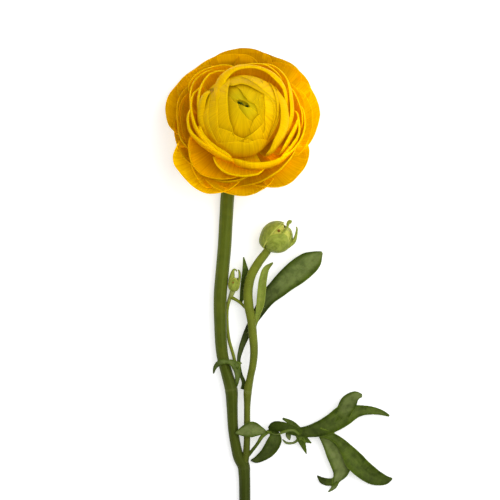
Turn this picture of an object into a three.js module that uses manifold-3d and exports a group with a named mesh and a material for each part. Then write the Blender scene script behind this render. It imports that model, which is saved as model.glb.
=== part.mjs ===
// A cut ranunculus lying on a flat surface: an open yellow bloom on its thick stem, with a side
// stem that carries a bud, a thin stalk with a small bud, and the leaves that grow at the nodes.
// Millimetres, +Z up, the surface at z = 0. +Y runs from the cut end of the stem to the bloom, and
// the origin is the bottom centre of the flower's box.

import * as THREE from 'three';
import { mergeVertices } from 'three/addons/utils/BufferGeometryUtils.js';
import Module from 'manifold-3d';

const wasm = await Module();
wasm.setup();

// ---------------------------------------------------------------- driving dimensions

const gap = 0.3; // clearance where one piece sits on another
const petalThickness = 0.8;
const leafThickness = 0.7;
const sepalThickness = 0.65;

// The bloom: its base, where all petals start, and how far its axis leans to +Y from upright.
const bloomBase = new THREE.Vector3(-16.1, 67.9, 11.5);
const bloomLean = 25; // degrees

// The heart is a ball, a little flattened, on a short foot. Heights are above the bloom's base.
const heart = { radius: 17.6, up: 13.3, down: 9.2, middle: 13.2, footRadius: 5, foot: 3.7 };

// Each later petal is a bowl-shaped strip whose rim stands lower the wider it opens.
const rimHeightAt20 = 20; // height of a rim of 20 mm radius
const rimFall = 0.75; // height lost per mm of radius
const cornerCut = 0.2; // how far a petal's corners fall short of its rim, as a share of its length

// In radius and height, the strip runs from its root past a foot and a belly that guide it. They
// are given for a rim of the usual radius, with their shift for each mm that the rim is wider.
const cupStrip = {
  usualRim: 20,
  root: [2.5, 2.45],
  foot: [13, 1.9],
  footShift: [0.25, 0],
  belly: [23, 7],
  bellyShift: [0.7, -0.2],
};
const guardStrip = {
  usualRim: 30,
  root: [2.5, 0],
  foot: [16, -0.6],
  footShift: [0, 0],
  belly: [29, 3],
  bellyShift: [1, -0.25],
};
const cupHub = { radius: 5.6, bottom: 1.5, top: 3.4 };
const guardHub = { radius: 6.2, bottom: -1.3, top: 1.2 };
const guardWave = { height: 0.5, turns: 4.5 };

// The guards spread lower on the side that meets the surface, and lie on it with a small flat.
const guardDrop = 4.5;
const bellyDropShare = 0.6;
const restTrim = 0.06;

// The green base of the bloom.
const receptacle = { topRadius: 6, bottomRadius: 3.2, top: -1.6, bottom: -3.5 };
const bentSepals = { count: 5, start: 3.5, length: 9.5, halfWidth: 3.8, height: -2.35, droop: 2.8 };
const neckLength = 2.6;

// The buds: middle, direction of the axis, and radii across and along the axis.
const largeBud = {
  middle: new THREE.Vector3(-1.5, 21.2, 8.6),
  axis: new THREE.Vector3(0.6, 0.79, 0.14),
  radius: 5.6,
  up: 5.8,
  down: 5.2,
  coreDepth: 0.5,
};
const smallBud = {
  middle: new THREE.Vector3(-19.9, 0.6, 4.6),
  axis: new THREE.Vector3(0.08, 1, 0.1),
  radius: 1.9,
  up: 3.6,
  down: 2.6,
};

// ---------------------------------------------------------------- routes of stems and blades

// Stems: x, y, z and radius at points along the way.
const mainStemRoute = [
  [-15.4, -103.8, 2.4, 2.5],
  [-15.4, -93, 2.5, 2.5],
  [-15.9, -80.5, 2.8, 2.7],
  [-17.9, -77, 3.0, 2.5],
  [-19.4, -71.3, 3.2, 2.3],
  [-20.4, -65.1, 3.4, 2.3],
  [-21.0, -54, 3.7, 2.5],
  [-21.4, -46.6, 3.9, 2.85],
  [-23.2, -40, 4.1, 2.6],
  [-25.3, -32.6, 4.3, 2.65],
  [-26.0, -15.8, 4.4, 3.0],
  [-26.0, -2.6, 4.2, 2.95],
  [-25.4, 15, 3.7, 2.9],
  [-23.6, 32.6, 3.2, 2.9],
  [-22.7, 41, 3.05, 2.95],
  [-20.8, 50, 3.05, 2.95],
  [-18.4, 58, 3.3, 2.95],
  [-16.7, 62.9, 4.3, 2.9],
];
const sideStemRoute = [
  [-15.6, -79.5, 3.2, 1.6],
  [-14.7, -74, 3.9, 1.5],
  [-14.4, -64.2, 4.5, 1.5],
  [-14.4, -52.8, 5.0, 1.5],
  [-14.2, -47.5, 5.2, 1.85],
  [-12.9, -41, 5.7, 1.6],
  [-11.8, -35.6, 6.2, 1.65],
  [-11.4, -29.9, 6.7, 1.75],
  [-12.1, -22, 7.0, 1.85],
  [-12.6, -15.8, 7.0, 1.9],
  [-14.1, -9.2, 6.8, 2.2],
  [-14.2, -2.6, 6.6, 1.95],
  [-12.8, 3.5, 6.8, 1.9],
  [-9.6, 9.7, 7.2, 1.85],
  [-5.85, 15.5, 7.6, 1.55],
];
const budStalkRoute = [
  [-20.0, -45.2, 3.9, 0.9],
  [-18.9, -42.5, 3.4, 0.85],
  [-20.2, -32.6, 2.4, 0.75],
  [-22.1, -24.6, 1.7, 0.72],
  [-22.9, -17.6, 1.35, 0.72],
  [-22.6, -8.4, 1.7, 0.75],
  [-21.2, -4.4, 2.9, 0.85],
  [-20.3, -2.9, 4.0, 0.95],
];
const bractStalkRoute = [
  [-21.4, -5.4, 2.5, 0.7],
  [-19.2, -6.6, 3.0, 0.62],
  [-16.9, -8.2, 3.2, 0.6],
];
const petioleRoute = [
  [-14.6, -76.6, 3.0, 0.95],
  [-12.6, -74.6, 3.2, 0.72],
  [-9.6, -70.6, 4.3, 0.62],
  [-6.6, -66.4, 5.2, 0.7],
  [-4.6, -65.0, 5.6, 0.8],
];

// Blades: x, y, z and half width at points along the midrib. fold lifts both edges over the
// midrib, as a share of the half width, and roll turns the blade about the midrib, in degrees.
const upperLeafBlade = {
  fold: 0.16,
  route: [
    [-16.4, -46.6, 4.4, 0.9, 0],
    [-15.8, -44.2, 4.3, 0.9, 0],
    [-17.3, -39.5, 4.2, 0.8, 0],
    [-18.0, -33, 4.0, 0.85, 0],
    [-17.1, -29, 3.6, 1.1, 0],
    [-15.3, -24, 3.3, 1.5, 0],
    [-12.8, -18.5, 3.2, 1.8, 0],
    [-8.9, -11.9, 3.4, 2.4, 0],
    [-4.5, -5.5, 3.9, 3.4, 6],
    [2.8, 1.3, 4.6, 4.6, 8],
    [9.8, 7.0, 4.8, 5.1, 4],
    [15.6, 10.6, 4.2, 4.0, 0],
    [18.6, 12.9, 3.4, 0.6, 0],
  ],
};
const lightBractBlade = {
  fold: 0.3,
  route: [
    [-10.9, -18.9, 6.6, 0.6, 0],
    [-9.6, -13.5, 6.9, 1.1, 0],
    [-8.6, -9.2, 7.2, 1.7, 0],
    [-7.9, -2.8, 7.6, 1.85, 0],
    [-7.3, 2.2, 8.0, 1.75, 0],
    [-5.8, 6.8, 8.1, 1.3, 0],
    [-2.9, 9.4, 7.7, 0.3, 0],
  ],
};
const darkBractBlade = {
  fold: 0.25,
  route: [
    [-17.1, -8.1, 3.1, 0.6, 0],
    [-16.0, -3.0, 3.3, 1.5, 0],
    [-15.0, 4.2, 3.7, 1.7, 0],
    [-15.4, 8.4, 4.8, 0.9, 0],
    [-15.9, 11.8, 5.8, 0.3, 0],
  ],
};
const claspingBlades = [
  {
    fold: 0.15,
    route: [
      [-19.6, -45.8, 5.2, 0.7, 0],
      [-18.6, -42.6, 6.2, 1.0, 0],
      [-18.9, -38.6, 7.3, 1.7, 0],
      [-20.4, -35.6, 8.2, 1.9, 0],
      [-23.2, -34.0, 8.6, 1.0, 0],
      [-26.2, -34.5, 8.4, 1.3, 0],
      [-28.2, -36.4, 7.4, 1.1, 20],
      [-29.2, -39.8, 5.8, 0.3, 20],
    ],
  },
  {
    fold: 0.1,
    route: [
      [-19.4, -36.6, 8.0, 1.6, 0],
      [-18.0, -35.2, 8.0, 1.1, 0],
      [-16.5, -34.8, 7.5, 0.3, 0],
    ],
  },
];
const lowerLeafBlades = [
  // the small pale lobe that lies back over both stems
  {
    fold: 0.12,
    route: [
      [-5.6, -65.2, 5.8, 0.6, 0],
      [-8.6, -64.6, 6.6, 2.0, 0],
      [-12.2, -64.2, 7.4, 3.4, 0],
      [-15.6, -65.0, 7.3, 2.7, 0],
      [-19.6, -66.2, 6.7, 0.4, 0],
    ],
  },
  // the drooping lobe below the petiole
  {
    fold: 0.22,
    route: [
      [-2.6, -64.6, 5.6, 1.2, 0],
      [-2.2, -68.0, 5.4, 2.7, 0],
      [-4.0, -72.0, 4.2, 2.9, 0],
      [-7.4, -75.6, 2.8, 2.1, 0],
      [-11.0, -77.4, 1.9, 1.2, 0],
      [-12.7, -77.6, 1.6, 0.4, 0],
    ],
  },
  // the humped lobe above it
  {
    fold: -0.3,
    route: [
      [-4.6, -64.4, 5.8, 1.3, 0],
      [-2.4, -62.9, 7.2, 2.2, 0],
      [1.2, -63.1, 7.8, 2.3, 0],
      [5.4, -64.5, 6.8, 2.2, 0],
      [9.4, -66.0, 5.2, 1.9, 0],
    ],
  },
  // the thin lobe curled under it
  {
    fold: 0.1,
    route: [
      [1.2, -68.6, 3.4, 0.35, 0],
      [3.0, -70.2, 2.8, 0.6, 0],
      [6.2, -70.2, 3.0, 0.6, 0],
      [9.2, -67.4, 4.6, 0.8, 0],
    ],
  },
  // three narrow teeth round the curl
  {
    fold: 0.2,
    route: [
      [8.4, -66.8, 4.6, 1.6, 0],
      [10.4, -71.2, 3.2, 1.3, 0],
      [12.0, -75.4, 1.8, 0.35, 0],
    ],
  },
  {
    fold: 0.2,
    route: [
      [10.0, -66.8, 4.4, 1.4, 0],
      [12.2, -69.2, 3.6, 1.1, 0],
      [14.2, -70.4, 3.2, 0.4, 0],
    ],
  },
  {
    fold: 0.2,
    route: [
      [9.0, -65.0, 4.4, 1.4, 0],
      [5.4, -61.6, 4.6, 1.3, 0],
      [1.2, -59.3, 4.2, 0.6, 0],
    ],
  },
  // the neck and the long upper lobe
  {
    fold: 0.2,
    route: [
      [6.4, -65.2, 5.0, 1.6, 0],
      [12.0, -65.2, 4.8, 2.6, 0],
      [18.6, -63.6, 4.6, 3.7, 0],
      [23.6, -61.2, 4.8, 4.3, 0],
      [29.2, -57.6, 5.2, 4.6, 0],
      [34.8, -55.2, 4.6, 2.4, 0],
      [41.2, -55.2, 3.4, 1.5, 0],
      [48.0, -57.8, 1.8, 0.5, 0],
    ],
  },
  // its blunt side lobe
  {
    fold: -0.2,
    route: [
      [26.0, -60.0, 5.0, 3.2, 0],
      [28.4, -55.4, 6.2, 3.4, 0],
      [30.4, -51.4, 7.2, 3.6, 0],
      [33.2, -49.2, 7.2, 2.2, 0],
      [35.8, -48.7, 6.2, 0.8, 0],
    ],
  },
  // the broad lobe that hangs to the lower right
  {
    fold: 0.22,
    route: [
      [16.6, -65.6, 4.4, 2.2, 0],
      [22.8, -69.0, 4.4, 3.6, 0],
      [28.9, -74.0, 4.6, 4.9, 0],
      [35.0, -79.8, 4.2, 5.3, 0],
      [41.0, -84.1, 3.0, 4.3, 0],
      [46.2, -86.0, 1.9, 2.5, 0],
      [49.4, -85.7, 1.4, 0.6, 0],
    ],
  },
  // the pale lobe beside it, with its two points
  {
    fold: 0.15,
    route: [
      [18.4, -66.4, 4.2, 1.6, 0],
      [21.2, -71.4, 3.6, 2.6, 0],
      [24.8, -77.2, 3.0, 4.2, 0],
      [27.0, -82.2, 2.4, 3.9, 0],
      [26.2, -86.4, 1.9, 1.8, 0],
      [24.0, -90.2, 1.4, 1.0, 0],
      [21.2, -92.0, 1.2, 0.35, 0],
    ],
  },
  {
    fold: 0.2,
    route: [
      [26.4, -85.6, 2.0, 1.5, 0],
      [22.6, -87.6, 1.7, 1.7, 0],
      [19.2, -87.0, 2.0, 1.6, 0],
      [16.5, -84.6, 2.6, 0.4, 0],
    ],
  },
];

// ---------------------------------------------------------------- petals

// Heart petals, from the eye outward: the bearing of the middle round the axis, half the spread,
// how near the axis the free edge comes at its middle and at its corners (all in degrees), how
// far the petal stands over the ball, and how much more at its later corner.
const heartPetals = [
  { at: 215, half: 70, edge: 6, corner: 26, stand: 0.25, lean: 0.2 },
  { at: 50, half: 66, edge: 7, corner: 26, stand: 0.35, lean: 0.2 },
  { at: 300, half: 60, edge: 12, corner: 32, stand: 0.45, lean: 0.2 },
  { at: 222, half: 70, edge: 11, corner: 36, stand: 0.75, lean: 0.25 },
  { at: 70, half: 52, edge: 27, corner: 38, stand: 0.9, lean: -0.2 },
  { at: 358, half: 48, edge: 29, corner: 43, stand: 1.1, lean: 0.25 },
  { at: 182, half: 68, edge: 23, corner: 45, stand: 1.25, lean: -0.2 },
  { at: 300, half: 46, edge: 42, corner: 54, stand: 1.45, lean: 0.2 },
  { at: 238, half: 48, edge: 44, corner: 56, stand: 1.6, lean: -0.2 },
  { at: 8, half: 50, edge: 48, corner: 60, stand: 1.55, lean: 0.2 },
  { at: 185, half: 46, edge: 58, corner: 66, stand: 1.55, lean: 0.1 },
  { at: 272, half: 46, edge: 58, corner: 72, stand: 1.85, lean: 0.2 },
  { at: 335, half: 38, edge: 60, corner: 66, stand: 2.3, lean: -1.5 },
];

// Cup and guard petals: the bearing of the middle, half the spread (degrees), and the radius of
// the rim at its first corner, its middle and its last corner.
const cupPetals = [
  { at: 215, half: 38, rim: [21.0, 21.3, 21.7] },
  { at: 72, half: 64, rim: [20.3, 23.6, 20.5] },
  { at: 25, half: 42, rim: [21.6, 23.4, 28.0] },
  { at: 197, half: 52, rim: [23.0, 22.6, 22.8] },
  { at: 342, half: 28, rim: [24.2, 24.7, 23.2] },
  { at: 213, half: 42, rim: [23.4, 24.9, 23.2] },
  { at: 294, half: 34, rim: [23.2, 26.9, 25.0] },
  { at: 140, half: 45, rim: [24.5, 27.2, 24.4] },
  { at: 100, half: 40, rim: [25.4, 26.4, 25.4] },
  { at: 348, half: 42, rim: [28.0, 27.4, 24.8] },
  { at: 265, half: 30, rim: [27.0, 28.2, 26.2] },
];
const guardPetals = [
  { at: 232, half: 34, rim: [30.0, 31.4, 30.2] },
  { at: 308, half: 32, rim: [30.0, 31.2, 30.0] },
  { at: 100, half: 42, rim: [30.2, 31.0, 30.2] },
  { at: 48, half: 40, rim: [30.2, 31.4, 30.4] },
  { at: 4, half: 38, rim: [30.0, 30.6, 30.0] },
  { at: 160, half: 40, rim: [30.0, 30.6, 30.2] },
  { at: 124, half: 34, rim: [34.6, 33.9, 33.8] },
  { at: 62, half: 34, rim: [35.8, 36.2, 35.8] },
  { at: 270, half: 34, rim: [33.4, 36.1, 34.8] },
  { at: 163, half: 38, rim: [33.8, 34.3, 31.2] },
  { at: 17, half: 44, rim: [31.9, 34.2, 37.4] },
  { at: 313, half: 34, rim: [32.6, 36.3, 31.6] },
  { at: 230, half: 36, rim: [31.2, 37.7, 34.0] },
  { at: 92, half: 36, rim: [35.8, 37.0, 34.2] },
];

// Sepals of the large bud: as for heart petals, with flare, how far the tip stands off the bud.
const budSepals = [
  { at: 166, half: 46, edge: 12, corner: 60, stand: 1.8 },
  { at: 68, half: 42, edge: 16, corner: 66, stand: 1.72 },
  { at: 236, half: 40, edge: 24, corner: 70, stand: 1.65 },
  { at: 300, half: 34, edge: 36, corner: 80, stand: 1.65 },
  { at: -6, half: 32, edge: 34, corner: 84, stand: 1.65, flare: 2.4 },
];
const budPetalCount = 5;
const smallBudSepalCount = 3;

// The seat under the large bud's sepals, in radius and height over the bud's middle.
const budSeatProfile = [
  [0, -6.9],
  [2.3, -6.7],
  [3.6, -5.3],
  [3.1, -5.1],
  [1.6, -5.7],
  [0, -5.8],
];

// Horn of the large bud and tips of the small one, on the bud's own axis: x, y, height, radius.
const budHornRoute = [
  [0.8, 2.0, 6.65, 0.6],
  [0.4, 1.1, 7.6, 0.5],
  [0, 0.4, 8.6, 0.65],
  [0.6, 0.1, 9.2, 0.6],
];
const smallBudTips = [
  [
    [-1.5, 0, 1.6, 0.75],
    [-1.0, 0, 4.2, 0.55],
    [-0.2, 0, 5.7, 0.4],
    [0.7, 0, 5.0, 0.4],
  ],
  [
    [1.6, 0, 1.4, 0.7],
    [2.3, 0, 3.6, 0.5],
    [2.0, 0, 5.2, 0.42],
    [1.2, 0, 5.8, 0.4],
  ],
];

// How finely the pieces are divided: round and along a stem, across and along a petal or blade.
const mainStemGrid = [10, 34];
const sideStemGrid = [8, 26];
const stalkGrid = [6, 15];
const shortStalkGrid = [6, 4];
const tipGrid = [5, 5];
const petalGrid = { across: 6, along: 4 };
const sepalGrid = { across: 4, along: 4 };
const budGrid = { across: 4, along: 3 };
const ballSegments = 20;
const budSegments = 16;
const smallBudSegments = 8;

// ---------------------------------------------------------------- solids

const rad = THREE.MathUtils.degToRad;

// A closed geometry between two surfaces that are sampled on the same grid, so that both faces
// are split into triangles alike. outer lies on the side that across x along points to.
function shellBetween(outer, inner, across, along) {
  const positions = [];
  for (const surface of [outer, inner]) {
    for (let j = 0; j <= along; j += 1) {
      for (let i = 0; i <= across; i += 1) {
        positions.push(...surface((2 * i) / across - 1, j / along).toArray());
      }
    }
  }
  const row = across + 1;
  const innerStart = row * (along + 1);
  const index = [];
  for (let j = 0; j < along; j += 1) {
    for (let i = 0; i < across; i += 1) {
      const a = j * row + i;
      const b = a + 1;
      const c = b + row;
      const d = a + row;
      index.push(a, b, c, a, c, d);
      index.push(innerStart + a, innerStart + c, innerStart + b);
      index.push(innerStart + a, innerStart + d, innerStart + c);
    }
  }
  const edge = [];
  for (let i = 0; i < across; i += 1) edge.push(i);
  for (let j = 0; j < along; j += 1) edge.push(j * row + across);
  for (let i = across; i > 0; i -= 1) edge.push(along * row + i);
  for (let j = along; j > 0; j -= 1) edge.push(j * row);
  edge.forEach((a, k) => {
    const b = edge[(k + 1) % edge.length];
    index.push(a, innerStart + a, innerStart + b, a, innerStart + b, b);
  });
  const geometry = new THREE.BufferGeometry();
  geometry.setAttribute('position', new THREE.Float32BufferAttribute(positions, 3));
  geometry.setIndex(index);
  return geometry;
}

// The direction square to a surface at u, v, from small steps across and along it.
function normalOf(surface, u, v) {
  const step = 0.02;
  const across = surface(u + step, v).sub(surface(u - step, v));
  const along = surface(u, Math.min(v + step, 1)).sub(surface(u, Math.max(v - step, 0)));
  return across.cross(along).normalize();
}

// A sheet of even thickness about a surface.
function sheet(surface, thickness, across, along) {
  const shifted = (side) => (u, v) =>
    surface(u, v).addScaledVector(normalOf(surface, u, v), (side * thickness) / 2);
  return shellBetween(shifted(1), shifted(-1), across, along);
}

// A point on a route at t, with the numbers after x, y, z read at the same place.
function sampler(route) {
  const path = new THREE.CatmullRomCurve3(route.map((p) => new THREE.Vector3(p[0], p[1], p[2])));
  const others = route[0].slice(3).map((_, k) => route.map((p) => p[k + 3]));
  return (t) => {
    const place = Math.min(t * (route.length - 1), route.length - 1 - 1e-6);
    const from = Math.floor(place);
    const share = THREE.MathUtils.smoothstep(place - from, 0, 1);
    return {
      point: path.getPoint(t),
      tangent: path.getTangent(t),
      others: others.map((list) => THREE.MathUtils.lerp(list[from], list[from + 1], share)),
    };
  };
}

// A stem: a closed tube whose radius follows its route. more makes it that much larger all over.
function stem(route, [sides, steps], more = 0) {
  const sample = sampler(route);
  const rings = [];
  const ends = [];
  let side = new THREE.Vector3(1, 0, 0);
  for (let j = 0; j <= steps; j += 1) {
    const { point, tangent, others } = sample(j / steps);
    if (j === 0) point.addScaledVector(tangent, -more);
    if (j === steps) point.addScaledVector(tangent, more);
    side = side.addScaledVector(tangent, -side.dot(tangent)).normalize();
    const other = new THREE.Vector3().crossVectors(tangent, side);
    const radius = others[0] + more;
    for (let i = 0; i < sides; i += 1) {
      const angle = (2 * Math.PI * i) / sides;
      rings.push(
        point
          .clone()
          .addScaledVector(side, radius * Math.cos(angle))
          .addScaledVector(other, radius * Math.sin(angle)),
      );
    }
    if (j === 0 || j === steps) ends.push(point);
  }
  const first = rings.length;
  rings.push(...ends);
  const index = [];
  for (let i = 0; i < sides; i += 1) {
    const next = (i + 1) % sides;
    for (let j = 0; j < steps; j += 1) {
      const a = j * sides + i;
      const b = j * sides + next;
      index.push(a, b, b + sides, a, b + sides, a + sides);
    }
    index.push(first, next, i, first + 1, steps * sides + i, steps * sides + next);
  }
  const geometry = new THREE.BufferGeometry();
  geometry.setAttribute(
    'position',
    new THREE.Float32BufferAttribute(rings.flatMap((p) => p.toArray()), 3),
  );
  geometry.setIndex(index);
  return geometry;
}

// A leaf blade along its midrib.
function blade({ route, fold }, across, along) {
  const sample = sampler(route);
  const surface = (u, v) => {
    const { point, tangent, others } = sample(THREE.MathUtils.clamp(v, 0, 1));
    const [halfWidth, roll] = others;
    const side = new THREE.Vector3(tangent.y, -tangent.x, 0).normalize();
    const up = new THREE.Vector3().crossVectors(side, tangent);
    side.applyAxisAngle(tangent, rad(roll));
    up.applyAxisAngle(tangent, rad(roll));
    return point
      .addScaledVector(side, u * halfWidth)
      .addScaledVector(up, fold * halfWidth * u * u);
  };
  return sheet(surface, leafThickness, across, along);
}

// The outline of a ball from near its foot up to its top, for a solid of revolution.
function ballProfile({ radius, up, down, middle }, from, step) {
  const profile = [];
  for (let angle = from; angle > 0; angle -= step) {
    const tall = angle < 90 ? up : down;
    profile.push([radius * Math.sin(rad(angle)), middle + tall * Math.cos(rad(angle))]);
  }
  return [...profile, [0, middle + up]];
}

// A solid of revolution from r, h points that close on themselves or start and end on the axis.
function turned(points, segments) {
  const profile = points.map(([r, h]) => new THREE.Vector2(r, h));
  return new THREE.LatheGeometry(profile, segments).rotateX(Math.PI / 2);
}

// The point at r, h and a bearing in degrees round the +Z axis.
function roundAxis(r, h, bearing) {
  return new THREE.Vector3(r * Math.cos(rad(bearing)), r * Math.sin(rad(bearing)), h);
}

// A point over a ball, by its angle from the axis and its bearing, both in degrees.
function overBall(ball, fromAxis, bearing, stand) {
  const tall = fromAxis < 90 ? ball.up : ball.down;
  return roundAxis(
    (ball.radius + stand) * Math.sin(rad(fromAxis)),
    ball.middle + (tall + stand) * Math.cos(rad(fromAxis)),
    bearing,
  );
}

// A petal or sepal that lies on a ball, from below its widest part up to its free edge. It is
// as thick as told, or else it goes down into the ball by rooted.
function ballPetal(ball, petal, { root = 104, thickness, grid = petalGrid } = {}) {
  const rooted = 1;
  const surface = (isOuter) => (u, v) => {
    const reach = petal.edge + (petal.corner - petal.edge) * u * u;
    const flare = (petal.flare ?? 0) * v * v;
    const stand = petal.stand + (petal.lean ?? 0) * u + flare;
    const inner = thickness ? stand - thickness : -rooted;
    const bearing = petal.at + petal.half * u;
    return overBall(ball, root + (reach - root) * v, bearing, isOuter ? stand : inner);
  };
  return shellBetween(surface(true), surface(false), grid.across, grid.along);
}

// The space under the surface that the flower lies on, which flattens what would dip into it.
const surfaceSlab = new THREE.BoxGeometry(300, 300, 20).translate(0, 0, -10);

// A strip's curve to a rim of a given radius, pressed down by drop at the rim.
function stripCurve({ usualRim, root, foot, footShift, belly, bellyShift }, rim, drop) {
  const wider = rim - usualRim;
  const guide = ([r, h], shift) =>
    new THREE.Vector2(r + shift[0] * wider, h + shift[1] * wider);
  return new THREE.CubicBezierCurve(
    new THREE.Vector2(...root),
    guide(foot, footShift),
    guide(belly, bellyShift).sub(new THREE.Vector2(0, bellyDropShare * drop)),
    new THREE.Vector2(rim, rimHeightAt20 - rimFall * (rim - 20) - drop),
  );
}

// How high over the bloom's base, along its axis, the surface lies at a radius and a bearing.
function surfaceHeight(radius, bearing) {
  const outward = radius * Math.sin(rad(bearing)) * Math.sin(rad(bloomLean));
  return (outward - bloomBase.z - restTrim) / Math.cos(rad(bloomLean));
}

// A bowl-shaped petal from the hub at the bloom's base to its rim. One that would dip into the
// surface bends along it.
function bowlPetal({ at, half, rim }, strip, { drop = 0, wave = { height: 0, turns: 0 } } = {}) {
  const [first, middle, last] = rim;
  const surface = (u, v) => {
    const bearing = at + half * u;
    const radius = middle + ((last - first) / 2) * u + ((first + last) / 2 - middle) * u * u;
    const curve = stripCurve(strip, radius, drop * Math.max(0, Math.sin(rad(bearing))));
    const { x, y } = curve.getPoint(v * (1 - cornerCut * u ** 4));
    const ripple = wave.height * Math.sin(wave.turns * u + at) * v ** 3;
    const lowest = surfaceHeight(x, bearing) + petalThickness / 2;
    return roundAxis(x, Math.max(y + ripple, lowest), bearing);
  };
  return sheet(surface, petalThickness, petalGrid.across, petalGrid.along);
}

// ---------------------------------------------------------------- joining and cutting

function toSolid(geometry) {
  const bare = new THREE.BufferGeometry();
  bare.setAttribute('position', geometry.getAttribute('position'));
  bare.setIndex(geometry.getIndex());
  const merged = mergeVertices(bare, 1e-4);
  return new wasm.Manifold(
    new wasm.Mesh({
      numProp: 3,
      vertProperties: new Float32Array(merged.getAttribute('position').array),
      triVerts: new Uint32Array(merged.getIndex().array),
    }),
  );
}

// The outer skin alone: hollows that petals seal between them are filled, and scraps dropped.
function outerSkin({ vertProperties, triVerts }) {
  const parent = Array.from({ length: vertProperties.length / 3 }, (_, k) => k);
  const find = (k) => {
    let top = k;
    while (parent[top] !== top) top = parent[top];
    parent[k] = top;
    return top;
  };
  for (let t = 0; t < triVerts.length; t += 3) {
    parent[find(triVerts[t + 1])] = find(triVerts[t]);
    parent[find(triVerts[t + 2])] = find(triVerts[t]);
  }
  const skins = new Map();
  for (let t = 0; t < triVerts.length; t += 3) {
    const key = find(triVerts[t]);
    if (!skins.has(key)) skins.set(key, { corners: [], volume: 0 });
    const skin = skins.get(key);
    const [a, b, c] = [0, 1, 2].map((k) =>
      new THREE.Vector3().fromArray(vertProperties, 3 * triVerts[t + k]),
    );
    skin.corners.push(...triVerts.slice(t, t + 3));
    skin.volume += a.dot(b.cross(c)) / 6;
  }
  return [...skins.values()].sort((one, other) => other.volume - one.volume)[0].corners;
}

function toGeometry(solid) {
  const mesh = solid.getMesh();
  const geometry = new THREE.BufferGeometry();
  geometry.setAttribute('position', new THREE.Float32BufferAttribute(mesh.vertProperties, 3));
  geometry.setIndex(outerSkin(mesh));
  geometry.computeVertexNormals();
  return geometry;
}

const joined = (geometries) => geometries.map(toSolid).reduce((whole, piece) => whole.add(piece));

function material(colour, roughness) {
  return new THREE.MeshStandardMaterial({
    color: colour,
    roughness,
    metalness: 0,
    side: THREE.DoubleSide,
  });
}

function piece(name, solid, finish) {
  const mesh = new THREE.Mesh(toGeometry(solid), finish);
  mesh.name = name;
  return mesh;
}

// ---------------------------------------------------------------- finishes

const finishes = {
  heart: material(0xe0c400, 0.55),
  cup: material(0xe9b000, 0.55),
  guard: material(0xee9f00, 0.55),
  stem: material(0x5f6e23, 0.5),
  youngStem: material(0x7d872d, 0.5),
  darkLeaf: material(0x3c551e, 0.5),
  leaf: material(0x4b6e1e, 0.5),
  bract: material(0x82913c, 0.5),
  sepal: material(0x7d9637, 0.55),
  budPetal: material(0xc8c846, 0.5),
};

// ---------------------------------------------------------------- pieces

function heartSolid() {
  const { footRadius, foot } = heart;
  const profile = [[0, foot], [footRadius, foot], ...ballProfile(heart, 160, 20)];
  const petals = heartPetals.map((petal) => ballPetal(heart, petal));
  return joined([turned(profile, ballSegments), ...petals]);
}

function hub({ radius, bottom, top }) {
  return turned([[0, bottom], [radius, bottom], [radius, top], [0, top]], 12);
}

const cupSolid = () => joined([hub(cupHub), ...cupPetals.map((p) => bowlPetal(p, cupStrip))]);

// The guards that reach the surface are pressed flat on it.
function guardSolid(bloomMatrix) {
  const options = { drop: guardDrop, wave: guardWave };
  const petals = guardPetals.map((petal) => bowlPetal(petal, guardStrip, options));
  const slab = surfaceSlab.clone().applyMatrix4(bloomMatrix.clone().invert());
  return joined([hub(guardHub), ...petals]).subtract(toSolid(slab));
}

// The green receptacle under the bloom with its sepals bent back.
function calyxSolid() {
  const { topRadius, bottomRadius, top, bottom } = receptacle;
  const core = turned([[0, bottom], [bottomRadius, bottom], [topRadius, top], [0, top]], budSegments);
  const { count, start, length, halfWidth, height, droop } = bentSepals;
  const sepals = [];
  for (let k = 0; k < count; k += 1) {
    const bearing = -90 + (360 * k) / count;
    const surface = (u, v) => {
      const wide = halfWidth * Math.sin(Math.PI * (0.09 + 0.85 * v)) ** 0.75;
      const h = height - droop * v * v - 0.5 * u * u * v;
      return roundAxis(start + length * v, h, bearing).add(roundAxis(-u * wide, 0, bearing + 90));
    };
    sepals.push(sheet(surface, sepalThickness, sepalGrid.across, sepalGrid.along));
  }
  return joined([core, ...sepals]);
}

const largeBudBall = { ...largeBud, middle: 0 };
const smallBudBall = { ...smallBud, middle: 0 };

// The closed petals that show at the top of the large bud, round a core.
function budPetalSolid() {
  const { radius, up, down, coreDepth } = largeBud;
  const core = { radius: radius - coreDepth, up: up - coreDepth, down: down - coreDepth, middle: 0 };
  const petals = [];
  for (let k = 0; k < budPetalCount; k += 1) {
    const at = 20 + (360 * k) / budPetalCount;
    const petal = { at, half: 50, edge: 14, corner: 34, stand: 0.05, lean: 0.12 };
    petals.push(ballPetal(largeBudBall, petal, { grid: budGrid }));
  }
  const profile = [[0, -core.down], ...ballProfile(core, 150, 30)];
  return joined([turned(profile, budSegments), ...petals]);
}

// The sepals round it, on a seat on the stem, with the horn that curls over from their tips.
function budSepalSolid() {
  const options = { root: 150, thickness: sepalThickness, grid: sepalGrid };
  const sepals = budSepals.map((sepal) => ballPetal(largeBudBall, sepal, options));
  return joined([turned(budSeatProfile, 13), ...sepals, stem(budHornRoute, shortStalkGrid)]);
}

// The small bud: a closed core in its sepals, two of them drawn out into hooked tips.
function smallBudSolid() {
  const profile = [[0, -smallBud.down], ...ballProfile(smallBudBall, 155, 25)];
  const sepals = [];
  for (let k = 0; k < smallBudSepalCount; k += 1) {
    const at = 30 + (360 * k) / smallBudSepalCount;
    const sepal = { at, half: 56, edge: 28, corner: 66, stand: 0.45 };
    sepals.push(ballPetal(smallBudBall, sepal, { root: 150, grid: budGrid }));
  }
  const tips = smallBudTips.map((route) => stem(route, tipGrid));
  return joined([turned(profile, smallBudSegments), ...sepals, ...tips]);
}

// ---------------------------------------------------------------- the flower

const flower = new THREE.Group();

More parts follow.
